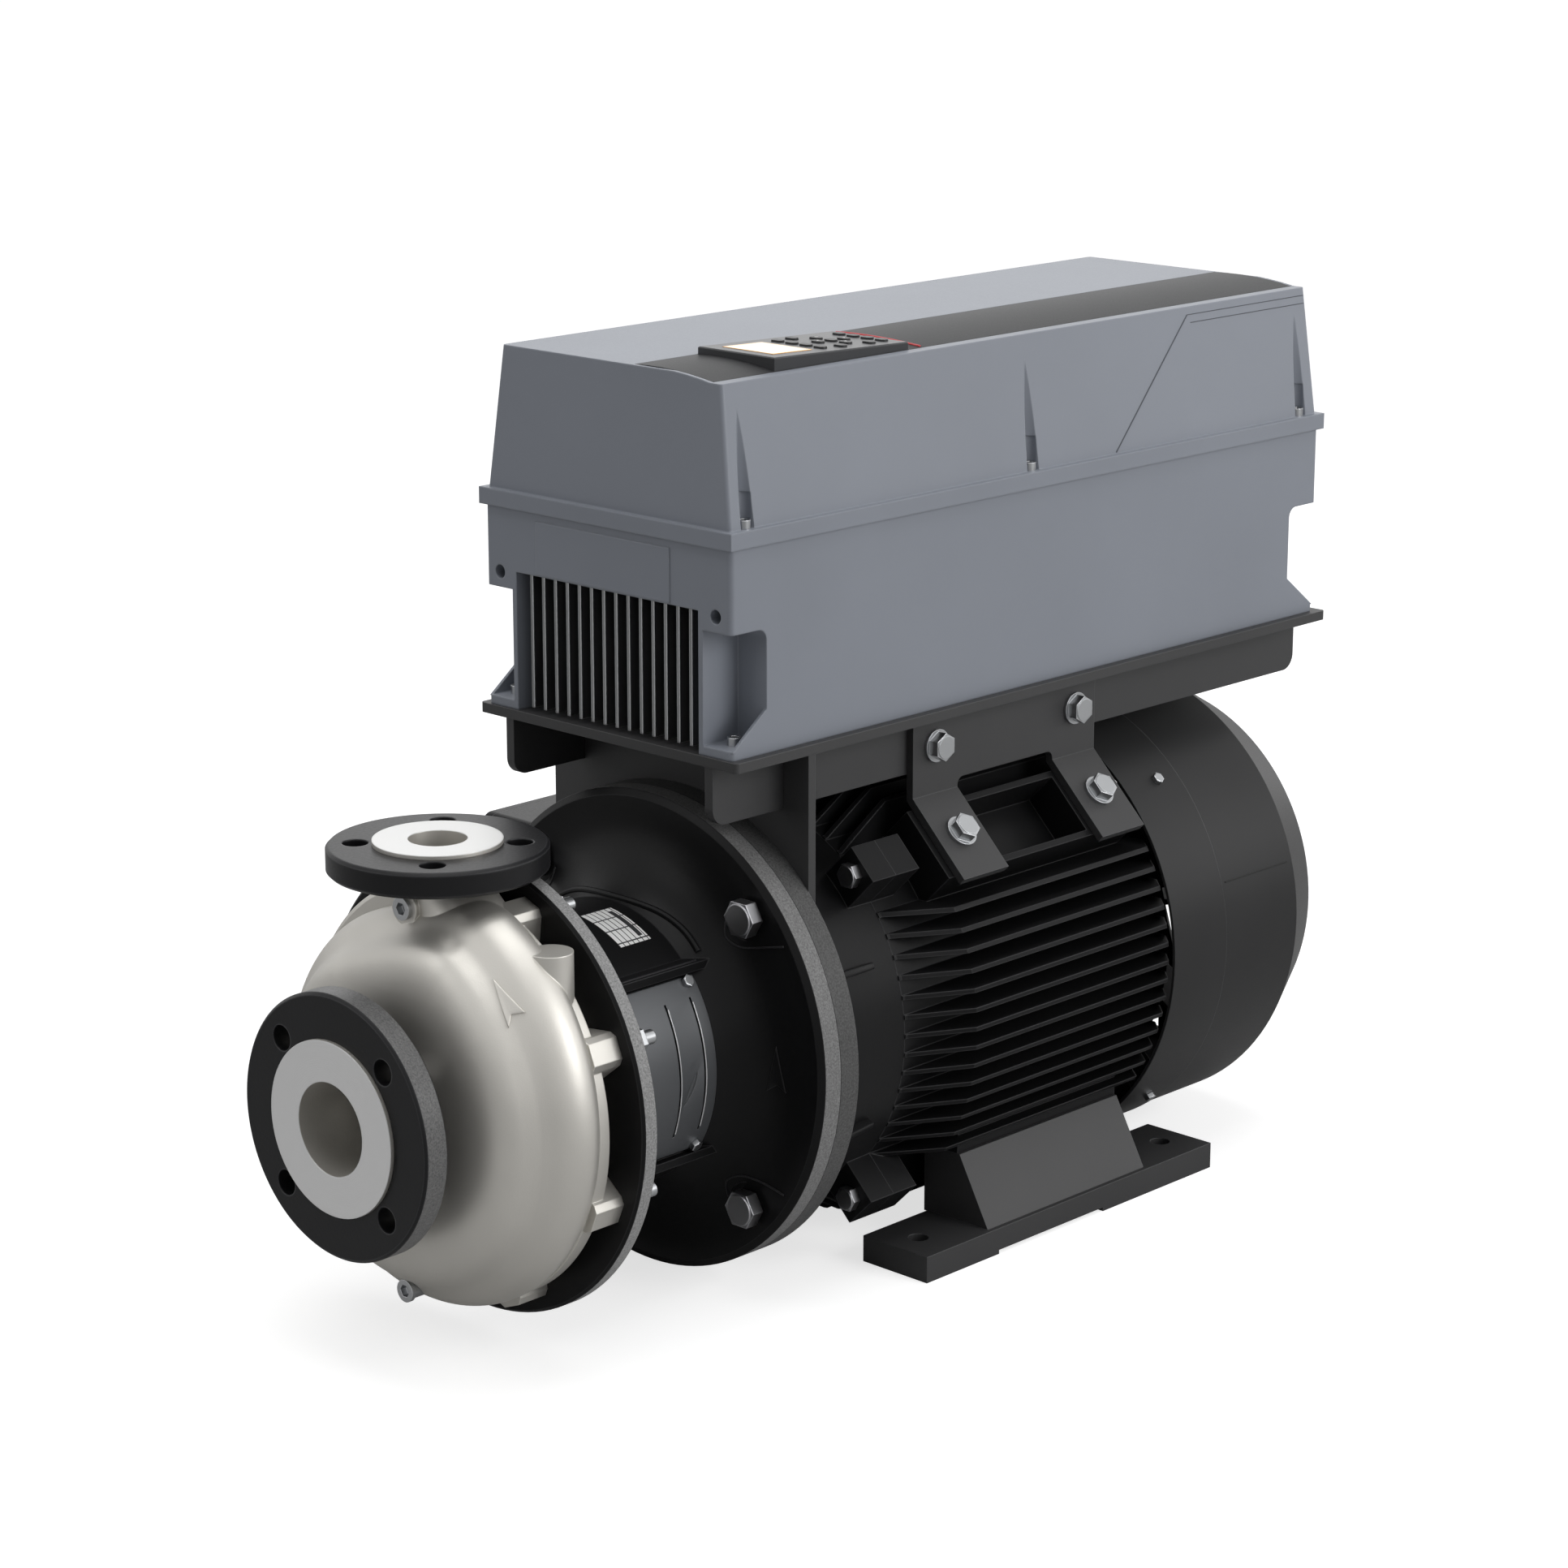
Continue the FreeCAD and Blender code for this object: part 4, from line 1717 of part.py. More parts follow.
def over_panel(front, back, proud):
    """The space above the panel's sloping top, for cutting it and the display to one slope."""
    return [(front - 20, panel_level(front - 20) + proud), (back + 20, panel_level(back + 20) + proud),
            (back + 20, cover_top + 40), (front - 20, cover_top + 40)]


def is_top_rim(edge, level):
    """The rim edges of the panel's top, which all lie above a level."""
    return not runs_along(edge, 2) and all(vertex.Z > float(level) for vertex in edge.Vertexes)


def key_corners(u, v, length, width):
    """A key outline with straight flanks and round ends."""
    flank, half, bow = length / 2 - width * 0.3, width / 2, width * 0.57
    return [(u - flank, v - half), (u + flank, v - half, bow), (u + flank, v + half),
            (u - flank, v + half, bow)]


def make_keys():
    for name, u, v in key_layout():
        top = panel_level(v) + d.key_proud
        key = new_body(name)
        grow(key, "cap", PLANE_LEVEL, key_corners(u, v, d.key_length, d.key_width), top - d.key_height,
             d.key_height)


def build():
    make_casing()
    loose_flange("suction_flange", d.suction_flange_dia, d.suction_pitch_dia, d.suction_flange_thick,
                 suction_neck, PLANE_ACROSS, d.raised_face)
    loose_flange("discharge_flange", d.discharge_flange_dia, d.discharge_pitch_dia,
                 d.discharge_flange_thick, discharge_neck, PLANE_LEVEL,
                 d.discharge_height - d.raised_face - d.discharge_flange_thick)
    make_plugs()
    make_impeller()
    make_small_wet_parts()
    make_casing_cover()
    make_shafts()
    make_stool()
    make_guards()
    make_drive_end_shield()
    make_stator_frame()
    make_rear_shield()
    make_cowl()
    make_fan()
    make_wound_stator()
    make_rotor_core()
    make_bearings()
    make_foot("motor_foot_right", 1)
    make_foot("motor_foot_left", -1)
    make_terminal_box()
    make_tray()
    make_front_support()
    make_bracket("bracket_right", 1)
    make_bracket("bracket_left", -1)
    make_bolts()
    make_small_screws()
    make_heatsink()
    make_drive_body()
    make_drive_fan()
    make_drive_cover()
    make_drive_screws()
    make_strip()
    make_panel()
    make_keys()
    doc.recompute()


def export():
    faults = [obj.Name for obj in doc.Objects if "Invalid" in obj.State or "Error" in obj.State]
    if faults:
        raise RuntimeError("failed objects: " + ", ".join(faults))
    os.makedirs("parts", exist_ok=True)
    for obj in PARTS:
        if obj.Shape.isNull() or not obj.Shape.isValid():
            raise RuntimeError("bad shape: " + obj.Label)
        obj.Shape.exportStep("parts/%s.step" % obj.Label)
        print("%-24s solids %2d  volume %.0f cm3" % (obj.Label, len(obj.Shape.Solids), obj.Shape.Volume / 1000))
    print(len(PARTS), "nodes")


build()
export()
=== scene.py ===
# %% [markdown]
# # A pump set, dressed for the camera
#
# The object is an end-suction centrifugal pump with its motor behind it and a variable-speed drive on
# a tray above. Its hard parts come from the CAD model and stay where they are. What Blender adds is
# what CAD is poor at: finishes that look like cast steel, paint and powder coat, and the small thin
# things that sit on the surfaces, such as a rating plate or a cast arrow.

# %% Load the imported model
import math

import bpy
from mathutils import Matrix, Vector


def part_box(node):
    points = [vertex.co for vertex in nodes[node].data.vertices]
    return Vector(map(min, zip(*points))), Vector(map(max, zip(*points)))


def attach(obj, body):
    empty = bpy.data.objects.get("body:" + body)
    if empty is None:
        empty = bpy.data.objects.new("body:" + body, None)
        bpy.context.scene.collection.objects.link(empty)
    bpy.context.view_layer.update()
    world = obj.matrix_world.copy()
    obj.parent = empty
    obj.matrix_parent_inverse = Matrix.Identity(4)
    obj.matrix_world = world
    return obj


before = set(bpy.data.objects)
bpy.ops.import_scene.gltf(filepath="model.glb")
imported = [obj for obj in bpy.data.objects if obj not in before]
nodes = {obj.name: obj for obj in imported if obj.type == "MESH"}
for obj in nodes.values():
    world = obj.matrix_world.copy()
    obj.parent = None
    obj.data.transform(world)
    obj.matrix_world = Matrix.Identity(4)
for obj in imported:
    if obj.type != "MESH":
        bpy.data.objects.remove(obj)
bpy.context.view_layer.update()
print("the packed model has", len(nodes), "nodes")

# %% [markdown]
# ## Where the pump sits
#
# All pieces share one frame in metres: the origin is the middle of the motor's four foot bolts, on
# the floor. It helps to write the few stations that the added pieces need as named values, because a
# rating plate on the barrel only makes sense if it is placed from the barrel's own axis and radius.

# %% Stations of the pump in metres
SHAFT_HEIGHT = 0.180
SUCTION_FACE = -0.5685
DISCHARGE_TOP = 0.360
DISCHARGE_STATION = -0.4685
BARREL_RADIUS = 0.103
print("suction face at", SUCTION_FACE, "and discharge face at", DISCHARGE_TOP)

# %% [markdown]
# ## Camera
#
# A product photograph is usually taken with a long lens, so parallel edges stay nearly parallel. Here
# a 92 mm lens stands about three metres away, 44 degrees round from the suction flange and 15 degrees
# above the shaft. Two angles set the turn of the camera, which is easier to read than a matrix.

# %% Place the camera
AZIMUTH = math.radians(43.75)
ELEVATION = math.radians(15.01)
camera_data = bpy.data.cameras.new("view")
camera_data.lens = 92.0
camera_data.sensor_width = 36.0
camera = bpy.data.objects.new("view", camera_data)
camera.location = (1.94644, -2.1675, 1.08735)
camera.rotation_euler = (math.pi / 2 - ELEVATION, 0.0, AZIMUTH)
bpy.context.scene.collection.objects.link(camera)
bpy.context.scene.camera = camera
bpy.context.scene.view_settings.view_transform = "Standard"
print("camera stands at", tuple(round(value, 3) for value in camera.location))

# %% [markdown]
# ## Light
#
# Painted metal is judged by its soft reflections, so the lamps are large. One hangs above and makes
# the cover's top the brightest face. One stands to the right and brightens the long side of the
# drive. Black paint shows mostly what it mirrors, so three more lamps stand where the camera sees
# them in the castings: one behind to the left for the tops, one in the far right corner for the rims
# of the flanges, and a long low one straight behind that draws a light edge round the fan cowl. A weak
# one in front keeps the black castings from closing up. The backdrop is white for the camera and for
# reflections, so that metal mirrors a white studio, while the light that it sheds stays weak.


# %% Area lamps
def add_lamp(name, place, target, size, watts):
    """A rectangular soft box that looks at a target."""
    data = bpy.data.lights.new(name, "AREA")
    data.shape = "RECTANGLE"
    data.size, data.size_y = size
    data.energy = watts
    lamp = bpy.data.objects.new(name, data)
    lamp.location = place
    way = Vector(target) - Vector(place)
    lamp.rotation_euler = way.to_track_quat("-Z", "Y").to_euler()
    bpy.context.scene.collection.objects.link(lamp)
    return lamp


add_lamp("over_light", (0.0, -0.1, 2.6), (0.0, 0.0, 0.4), (2.2, 2.6), 37.0)
add_lamp("side_light", (2.9, 0.75, 1.5), (0.0, 0.0, 0.4), (1.6, 1.8), 43.0)
add_lamp("front_light", (-1.4, -2.9, 1.9), (0.0, -0.4, 0.3), (1.2, 1.6), 8.5)
add_lamp("back_light", (-2.1, 2.4, 1.25), (0.0, -0.2, 0.35), (2.2, 1.3), 5.0)
add_lamp("corner_light", (2.0, 2.4, 1.2), (0.0, 0.0, 0.3), (1.2, 1.9), 5.0)
add_lamp("rim_light", (0.5, 3.0, 0.7), (0.0, 0.2, 0.25), (2.4, 1.0), 8.0)


# %% A world that is white for the camera and for reflections
def feed(tree, socket, value):
    """Link a socket to another one, or set it to a plain value."""
    if isinstance(value, bpy.types.NodeSocket):
        tree.links.new(value, socket)
    else:
        socket.default_value = value


def calc(tree, operation, *values):
    """A math node fed with sockets or plain numbers; returns its result."""
    node = tree.nodes.new("ShaderNodeMath")
    node.operation = operation
    for socket, value in zip(node.inputs, values):
        feed(tree, socket, value)
    return node.outputs[0]


WHITE = (1.0, 1.0, 1.0, 1.0)
ROOM_LIGHT = 0.24
BACKDROP_LIGHT = 1.0
world = bpy.data.worlds.new("studio")
bpy.context.scene.world = world
world.use_nodes = True
tree = world.node_tree
tree.nodes.clear()
out = tree.nodes.new("ShaderNodeOutputWorld")
rays = tree.nodes.new("ShaderNodeLightPath")
choose = tree.nodes.new("ShaderNodeMixShader")
for index, strength in ((1, ROOM_LIGHT), (2, BACKDROP_LIGHT)):
    sky = tree.nodes.new("ShaderNodeBackground")
    sky.inputs["Color"].default_value = WHITE
    sky.inputs["Strength"].default_value = strength
    tree.links.new(sky.outputs[0], choose.inputs[index])
seen = calc(tree, "MAXIMUM", rays.outputs["Is Camera Ray"], rays.outputs["Is Transmission Ray"])
seen = calc(tree, "MAXIMUM", seen, rays.outputs["Is Glossy Ray"])
tree.links.new(seen, choose.inputs[0])
tree.links.new(choose.outputs[0], out.inputs["Surface"])
print("room light", ROOM_LIGHT, "and backdrop", BACKDROP_LIGHT)

# %% [markdown]
# ## Floor
#
# The set stands on its motor feet. A plain sheet under it catches the soft shadow that tells the eye
# how far the pump end hangs free. For the camera the sheet also shines a little, so that it turns
# white around the object like studio paper, while the shadow stays. The shine grows with the distance
# from the set, because the lamps reach the far paper less.

# %% Lay the floor
bpy.ops.object.select_all(action="DESELECT")
bpy.ops.mesh.primitive_plane_add(size=60.0, location=(0.0, 0.0, 0.0))
floor = bpy.context.object
floor.name = "floor"
paper = bpy.data.materials.new("studio_paper")
paper.use_nodes = True
tree = paper.node_tree
tree.nodes.clear()
out = tree.nodes.new("ShaderNodeOutputMaterial")
matt = tree.nodes.new("ShaderNodeBsdfDiffuse")
matt.inputs["Color"].default_value = (0.62, 0.62, 0.62, 1.0)
shine = tree.nodes.new("ShaderNodeEmission")
shine.inputs["Color"].default_value = WHITE
both = tree.nodes.new("ShaderNodeAddShader")
rays = tree.nodes.new("ShaderNodeLightPath")
where = tree.nodes.new("ShaderNodeTexCoord")
reach = tree.nodes.new("ShaderNodeVectorMath")
reach.operation = "LENGTH"
fade = tree.nodes.new("ShaderNodeMapRange")
fade.inputs["From Min"].default_value = 0.7
fade.inputs["From Max"].default_value = 3.0
fade.inputs["To Min"].default_value = 0.70
fade.inputs["To Max"].default_value = 0.87
tree.links.new(where.outputs["Object"], reach.inputs[0])
tree.links.new(reach.outputs["Value"], fade.inputs["Value"])
level = calc(tree, "MULTIPLY", rays.outputs["Is Camera Ray"], fade.outputs["Result"])
tree.links.new(level, shine.inputs["Strength"])
tree.links.new(matt.outputs[0], both.inputs[0])
tree.links.new(shine.outputs[0], both.inputs[1])
tree.links.new(both.outputs[0], out.inputs["Surface"])
floor.data.materials.append(paper)
print("floor is", tuple(round(value) for value in floor.dimensions), "metres")

# %% [markdown]
# ## Effects that several finishes share
#
# Cast skin, powder coat and paint differ in size and depth of the same few things: a fine grain, a
# slow change of tone, and a painted glint that lightens the colour along edges. Each of these is
# built once as a node group, so that a finish is only a colour and three or four numbers. The Bevel
# node rounds the hard CAD edges in the shading, which catches the light as a real cast or painted
# edge does.


# %% Node groups for grain, tone and edges
def new_group(name, inputs, outputs):
    """A shader group with float or vector sockets; returns the tree and its two end nodes."""
    group = bpy.data.node_groups.new(name, "ShaderNodeTree")
    for label, kind, value in inputs:
        socket = group.interface.new_socket(name=label, in_out="INPUT", socket_type=kind)
        socket.default_value = value
    for label, kind in outputs:
        group.interface.new_socket(name=label, in_out="OUTPUT", socket_type=kind)
    return group, group.nodes.new("NodeGroupInput"), group.nodes.new("NodeGroupOutput")


def blend(tree, kind, factor, first, second):
    """A mix node of colours or numbers, fed with sockets or plain values; returns its result."""
    node = tree.nodes.new("ShaderNodeMix")
    node.data_type = kind
    for label, value in (("Factor", factor), ("A", first), ("B", second)):
        feed(tree, node.inputs[label], value)
    return node.outputs["Result"]


grain, grain_in, grain_out = new_group(
    "fine_grain", [("Scale", "NodeSocketFloat", 900.0), ("Spots", "NodeSocketFloat", 0.3)],
    [("Height", "NodeSocketFloat"), ("Mask", "NodeSocketFloat")])
place = grain.nodes.new("ShaderNodeTexCoord")
fine = grain.nodes.new("ShaderNodeTexNoise")
fine.inputs["Detail"].default_value = 4.0
fine.inputs["Roughness"].default_value = 0.62
pits = grain.nodes.new("ShaderNodeTexVoronoi")
pits.feature = "SMOOTH_F1"
grain.links.new(place.outputs["Object"], fine.inputs["Vector"])
grain.links.new(place.outputs["Object"], pits.inputs["Vector"])
grain.links.new(grain_in.outputs["Scale"], fine.inputs["Scale"])
grain.links.new(grain_in.outputs["Scale"], pits.inputs["Scale"])
height = blend(grain, "FLOAT", grain_in.outputs["Spots"], fine.outputs["Fac"],
               pits.outputs["Distance"])
grain.links.new(height, grain_out.inputs["Height"])
grain.links.new(fine.outputs["Fac"], grain_out.inputs["Mask"])
print("group", grain.name, "built")

# %% The slow change of tone and the edge mask
tone, tone_in, tone_out = new_group(
    "slow_tone", [("Scale", "NodeSocketFloat", 9.0)], [("Mask", "NodeSocketFloat")])
place = tone.nodes.new("ShaderNodeTexCoord")
cloud = tone.nodes.new("ShaderNodeTexNoise")
cloud.inputs["Detail"].default_value = 3.0
spread = tone.nodes.new("ShaderNodeMapRange")
spread.inputs["From Min"].default_value = 0.32
spread.inputs["From Max"].default_value = 0.68
tone.links.new(place.outputs["Object"], cloud.inputs["Vector"])
tone.links.new(tone_in.outputs["Scale"], cloud.inputs["Scale"])
tone.links.new(cloud.outputs["Fac"], spread.inputs["Value"])
tone.links.new(spread.outputs["Result"], tone_out.inputs["Mask"])

edge, edge_in, edge_out = new_group(
    "soft_edge", [("Radius", "NodeSocketFloat", 0.0012), ("Gain", "NodeSocketFloat", 6.0)],
    [("Mask", "NodeSocketFloat"), ("Normal", "NodeSocketVector")])
bevel = edge.nodes.new("ShaderNodeBevel")
bevel.samples = 6
shape = edge.nodes.new("ShaderNodeNewGeometry")
dot = edge.nodes.new("ShaderNodeVectorMath")
dot.operation = "DOT_PRODUCT"
edge.links.new(edge_in.outputs["Radius"], bevel.inputs["Radius"])
edge.links.new(bevel.outputs["Normal"], dot.inputs[0])
edge.links.new(shape.outputs["Normal"], dot.inputs[1])
turned = calc(edge, "SUBTRACT", 1.0, dot.outputs["Value"])
gained = calc(edge, "MULTIPLY", turned, edge_in.outputs["Gain"])
gained.node.use_clamp = True
edge.links.new(gained, edge_out.inputs["Mask"])
edge.links.new(bevel.outputs["Normal"], edge_out.inputs["Normal"])
print("groups:", [group.name for group in bpy.data.node_groups])

# %% [markdown]
# ## One recipe for a coated or cast surface
#
# Most finishes here follow the same path: the base colour drifts a little, is painted lighter along
# an edge as a glint, and the grain makes the roughness and a bump. A function that takes the numbers
# keeps the differences between finishes in plain sight.


# %% A finish from its colour and a few numbers
DRIFT_SCALE = 7.0
EDGE_GAIN = 7.0
COAT_ROUGHNESS = 0.18


def opaque(color, factor=1.0):
    """A colour with its alpha, made darker or lighter by a factor."""
    return tuple(value * factor for value in color) + (1.0,)


def add_group(tree, group, **values):
    """Place a shared group in a material with its own values."""
    node = tree.nodes.new("ShaderNodeGroup")
    node.node_tree = group
    for label, value in values.items():
        node.inputs[label].default_value = value
    return node


def finish(name, color, roughness, metallic=0.0, drift=0.12, edge_color=None, grain_scale=900.0,
           grain_depth=0.00002, spots=0.3, edge_radius=0.0012, rough_spread=0.08, coat=0.0,
           gloss=0.5):
    """A material whose colour, roughness and bump come from the shared groups."""
    material = bpy.data.materials.new(name)
    material.use_nodes = True
    tree = material.node_tree
    shader = tree.nodes["Principled BSDF"]
    shader.inputs["Metallic"].default_value = metallic
    shader.inputs["Specular IOR Level"].default_value = gloss
    shader.inputs["Coat Weight"].default_value = coat
    shader.inputs["Coat Roughness"].default_value = COAT_ROUGHNESS
    skin = add_group(tree, grain, Scale=grain_scale, Spots=spots)
    drift_mask = add_group(tree, tone, Scale=DRIFT_SCALE)
    rim = add_group(tree, edge, Radius=edge_radius, Gain=EDGE_GAIN)
    base = blend(tree, "RGBA", drift_mask.outputs["Mask"], opaque(color, 1 - drift),
                 opaque(color, 1 + drift))
    # The edge mask paints a lighter colour along edges: a painted glint where a rounded edge catches
    # the light.
    light = edge_color or tuple(min(1.0, value * 1.7 + 0.01) for value in color)
    edge_glinted = blend(tree, "RGBA", rim.outputs["Mask"], base, opaque(light))
    rough = tree.nodes.new("ShaderNodeMapRange")
    rough.inputs["To Min"].default_value = roughness - rough_spread
    rough.inputs["To Max"].default_value = roughness + rough_spread
    bump = tree.nodes.new("ShaderNodeBump")
    bump.inputs["Distance"].default_value = grain_depth
    tree.links.new(edge_glinted, shader.inputs["Base Color"])
    tree.links.new(skin.outputs["Mask"], rough.inputs["Value"])
    tree.links.new(rough.outputs["Result"], shader.inputs["Roughness"])
    tree.links.new(skin.outputs["Height"], bump.inputs["Height"])
    tree.links.new(rim.outputs["Normal"], bump.inputs["Normal"])
    tree.links.new(bump.outputs["Normal"], shader.inputs["Normal"])
    return material


def wear(material, *names):
    """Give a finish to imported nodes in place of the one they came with."""
    for name in names:
        mesh = nodes[name].data
        mesh.materials.clear()
        mesh.materials.append(material)


def overlay(material, label, mask, value):
    """Blend a value over what feeds a shader input, where a mask is white; returns the node."""
    tree = material.node_tree
    socket = tree.nodes["Principled BSDF"].inputs[label]
    kind = "RGBA" if socket.type == "RGBA" else "FLOAT"
    result = blend(tree, kind, mask, socket.links[0].from_socket, value)
    tree.links.new(result, socket)
    return result.node


RIM_REACH = 0.0012
SAND_SCALE = 760.0


def rims_grey_and_sheen(material, bands):
    """Lighten round rims, partly a painted sheen; a band is a radius, its start and end in
    millimetres, and a tone.
    """
    tree = material.node_tree
    where = tree.nodes.new("ShaderNodeTexCoord")
    shape = tree.nodes.new("ShaderNodeNewGeometry")
    spots = tree.nodes.new("ShaderNodeSeparateXYZ")
    facing = tree.nodes.new("ShaderNodeSeparateXYZ")
    tree.links.new(where.outputs["Object"], spots.inputs[0])
    tree.links.new(shape.outputs["True Normal"], facing.inputs[0])
    across, up = spots.outputs["X"], calc(tree, "SUBTRACT", spots.outputs["Z"], SHAFT_HEIGHT)
    squares = calc(tree, "ADD", calc(tree, "MULTIPLY", across, across),
                   calc(tree, "MULTIPLY", up, up))
    radius = calc(tree, "SQRT", squares)
    total = 0.0
    for reach, start, end, level in bands:
        ring = calc(tree, "COMPARE", radius, reach / 1000, RIM_REACH)
        band = calc(tree, "COMPARE", spots.outputs["Y"], SUCTION_FACE + (start + end) / 2000,
                    (end - start) / 2000)
        total = calc(tree, "ADD", calc(tree, "MULTIPLY", calc(tree, "MULTIPLY", ring, band), level),
                     total)
    sideways = calc(tree, "LESS_THAN", calc(tree, "ABSOLUTE", facing.outputs["Y"]), 0.5)
    sand = add_group(tree, grain, Scale=SAND_SCALE)
    speck = calc(tree, "MULTIPLY", sand.outputs["Mask"], 2.0)
    level = calc(tree, "MULTIPLY", calc(tree, "MULTIPLY", total, sideways), speck)
    # The lighter rim colour is partly a painted sheen for the bright band the side lamps draw.
    overlay(material, "Base Color", 1.0, level).blend_type = "LIGHTEN"


print("finish recipe ready")

# %% [markdown]
# ## Black castings, steel and powder coat
#
# The stool and the motor wear a thin satin black over cast iron. The pipe flanges wear nearly the
# same black, with more gloss and a coarser grain. The fan cowl is pressed from sheet, so its paint
# lies evenly and looks a little paler. The tray, rails, brackets and feet have a powder coat, which is
# paler still and has a finer grain than the paint on a casting.
#
# The round rims of the flanges are lighter: a sandy grey, partly the thin coat of a rim turned
# after casting and partly a painted sheen for the bright band that the side lamps draw on them. A
# rim is where the distance from the shaft equals its radius, the station lies inside its band and
# the surface looks sideways. The node tree tests these three things and lightens the base colour
# there.

# %% Finishes of the dark pieces
black_casting = finish("black_casting", (0.008, 0.008, 0.0085), 0.36, gloss=0.12, grain_scale=520.0,
                       grain_depth=0.00006, edge_color=(0.06, 0.06, 0.062))
rims_grey_and_sheen(black_casting, [(163.0, 60.0, 200.0, 0.28), (175.0, 290.0, 308.0, 0.19),
                          (175.0, 308.5, 327.0, 0.09)])
wear(black_casting, "motor_stool", "drive_end_shield", "stator_frame", "non_drive_end_shield",
     "terminal_box", "terminal_box_lid")
cowl_paint = finish("cowl_paint", (0.019, 0.019, 0.0195), 0.40, gloss=0.2, grain_scale=900.0,
                    edge_color=(0.07, 0.07, 0.072))
wear(cowl_paint, "fan_cowl")
black_flange = finish("black_flange", (0.009, 0.009, 0.010), 0.36, gloss=0.20, grain_scale=420.0,
                      grain_depth=0.00008, edge_radius=0.002, edge_color=(0.06, 0.06, 0.064))
rims_grey_and_sheen(black_flange, [(92.5, 0.0, 30.0, 0.14)])
wear(black_flange, "suction_flange", "discharge_flange")
powder = finish("powder_coat", (0.024, 0.024, 0.025), 0.52, grain_scale=1500.0, grain_depth=0.00006,
                spots=0.7, edge_radius=0.0008, edge_color=(0.07, 0.07, 0.072))
wear(powder, "tray_plate", "tray_rails", "front_support", "bracket_left", "bracket_right",
     "motor_foot_left", "motor_foot_right")
fan_plastic = finish("fan_plastic", (0.03, 0.03, 0.033), 0.5, grain_scale=700.0)
wear(fan_plastic, "cooling_fan", "heatsink_fan")
print("dark finishes on", sum(1 for item in nodes.values() if item.data.materials), "nodes")

# %% [markdown]
# ## Drive paint
#
# The drive's body and cover are die-cast and sprayed in one blue-grey. The paint is even, with a very
# light orange peel, so the faces differ only by the light they get.

# %% Finish of the drive
drive_paint = finish("drive_paint", (0.215, 0.232, 0.268), 0.46, drift=0.03, grain_scale=650.0,
                     grain_depth=0.00001, edge_radius=0.0016, edge_color=(0.26, 0.28, 0.32), coat=0.04)
wear(drive_paint, "drive_body", "drive_cover")
heatsink_alloy = finish("heatsink_alloy", (0.24, 0.243, 0.247), 0.38, metallic=1.0, drift=0.08,
                        grain_scale=300.0, edge_color=(0.75, 0.76, 0.77))
wear(heatsink_alloy, "heatsink")
guard_sheet = finish("guard_sheet", (0.088, 0.092, 0.098), 0.40, metallic=0.35, drift=0.05,
                     grain_scale=500.0, grain_depth=0.00001, edge_radius=0.0007,
                     edge_color=(0.16, 0.165, 0.17))
wear(guard_sheet, "coupling_guards")
print("drive paint and guard finish ready")

# %% [markdown]
# ## Bare metals
#
# Most bolts are zinc plated, and those of the motor flange and its end shield are a darker steel. The
# shafts and the bearing races are turned. They share one recipe too, but with a metal base and a
# shallow grain. Only the copper windings have a deep one, and the carbon of the seals is no metal.

# %% Finishes of the bare metals
zinc = finish("zinc_plate", (0.42, 0.43, 0.44), 0.30, metallic=1.0, drift=0.06, grain_scale=900.0,
              grain_depth=0.000002, edge_radius=0.0006, edge_color=(0.62, 0.63, 0.65),
              rough_spread=0.04)
wear(zinc, "m12_bolts", "casing_plugs", "m6_socket_screws", "m5_screws")
dark_steel = finish("dark_steel", (0.27, 0.27, 0.28), 0.34, metallic=1.0, drift=0.1,
                    grain_scale=900.0, grain_depth=0.000003, edge_color=(0.5, 0.5, 0.52),
                    rough_spread=0.05)
wear(dark_steel, "stool_bolts", "end_shield_bolts")
turned_steel = finish("turned_steel", (0.58, 0.58, 0.59), 0.24, metallic=1.0, grain_scale=250.0,
                      grain_depth=0.00001)
wear(turned_steel, "stub_shaft", "motor_shaft", "impeller_nut", "wear_ring", "bearing_inner_races",
     "bearing_outer_races")
carbon = finish("seal_carbon", (0.03, 0.03, 0.032), 0.4, grain_scale=900.0)
wear(carbon, "seal_rotating", "static_seals")
core_steel = finish("core_steel", (0.32, 0.32, 0.33), 0.45, metallic=0.8, grain_scale=400.0)
wear(core_steel, "rotor_core")
copper = finish("copper_winding", (0.42, 0.17, 0.07), 0.42, metallic=0.7, drift=0.25,
                grain_scale=220.0, grain_depth=0.0004)
wear(copper, "wound_stator")
print("bare metals ready")

# %% [markdown]
# ## The stainless casing
#
# The casing is investment cast and bead blasted, so it is a metal without a mirror: broad soft lights
# and a fine sparkle. Its two pipe faces are turned after casting. They lie on known planes, so a mask
# of what lies on those planes gives them their own brighter, smoother look, and the discharge face
# on top is painted a shade lighter than the suction face, for the light from above. The lathe leaves
# rings round each face's own axis, which pull a highlight out into a fan, so a ring pattern feeds
# the bump.

# %% Finish of the casing with its turned faces
FACE_SKIN = 0.0004
CAST_METALLIC = 0.68
TURNED_METALLIC = 0.2
TURNED_ROUGHNESS = 0.34
RING_SCALE = 210.0
cast_steel = finish("cast_stainless", (0.575, 0.558, 0.52), 0.44, metallic=CAST_METALLIC, drift=0.07,
                    grain_scale=1100.0, grain_depth=0.00006, spots=0.55, rough_spread=0.07,
                    edge_color=(0.72, 0.70, 0.65))
tree = cast_steel.node_tree
shader = tree.nodes["Principled BSDF"]
place = tree.nodes.new("ShaderNodeTexCoord")
split = tree.nodes.new("ShaderNodeSeparateXYZ")
tree.links.new(place.outputs["Object"], split.inputs[0])
front = calc(tree, "LESS_THAN", split.outputs["Y"], SUCTION_FACE + FACE_SKIN)
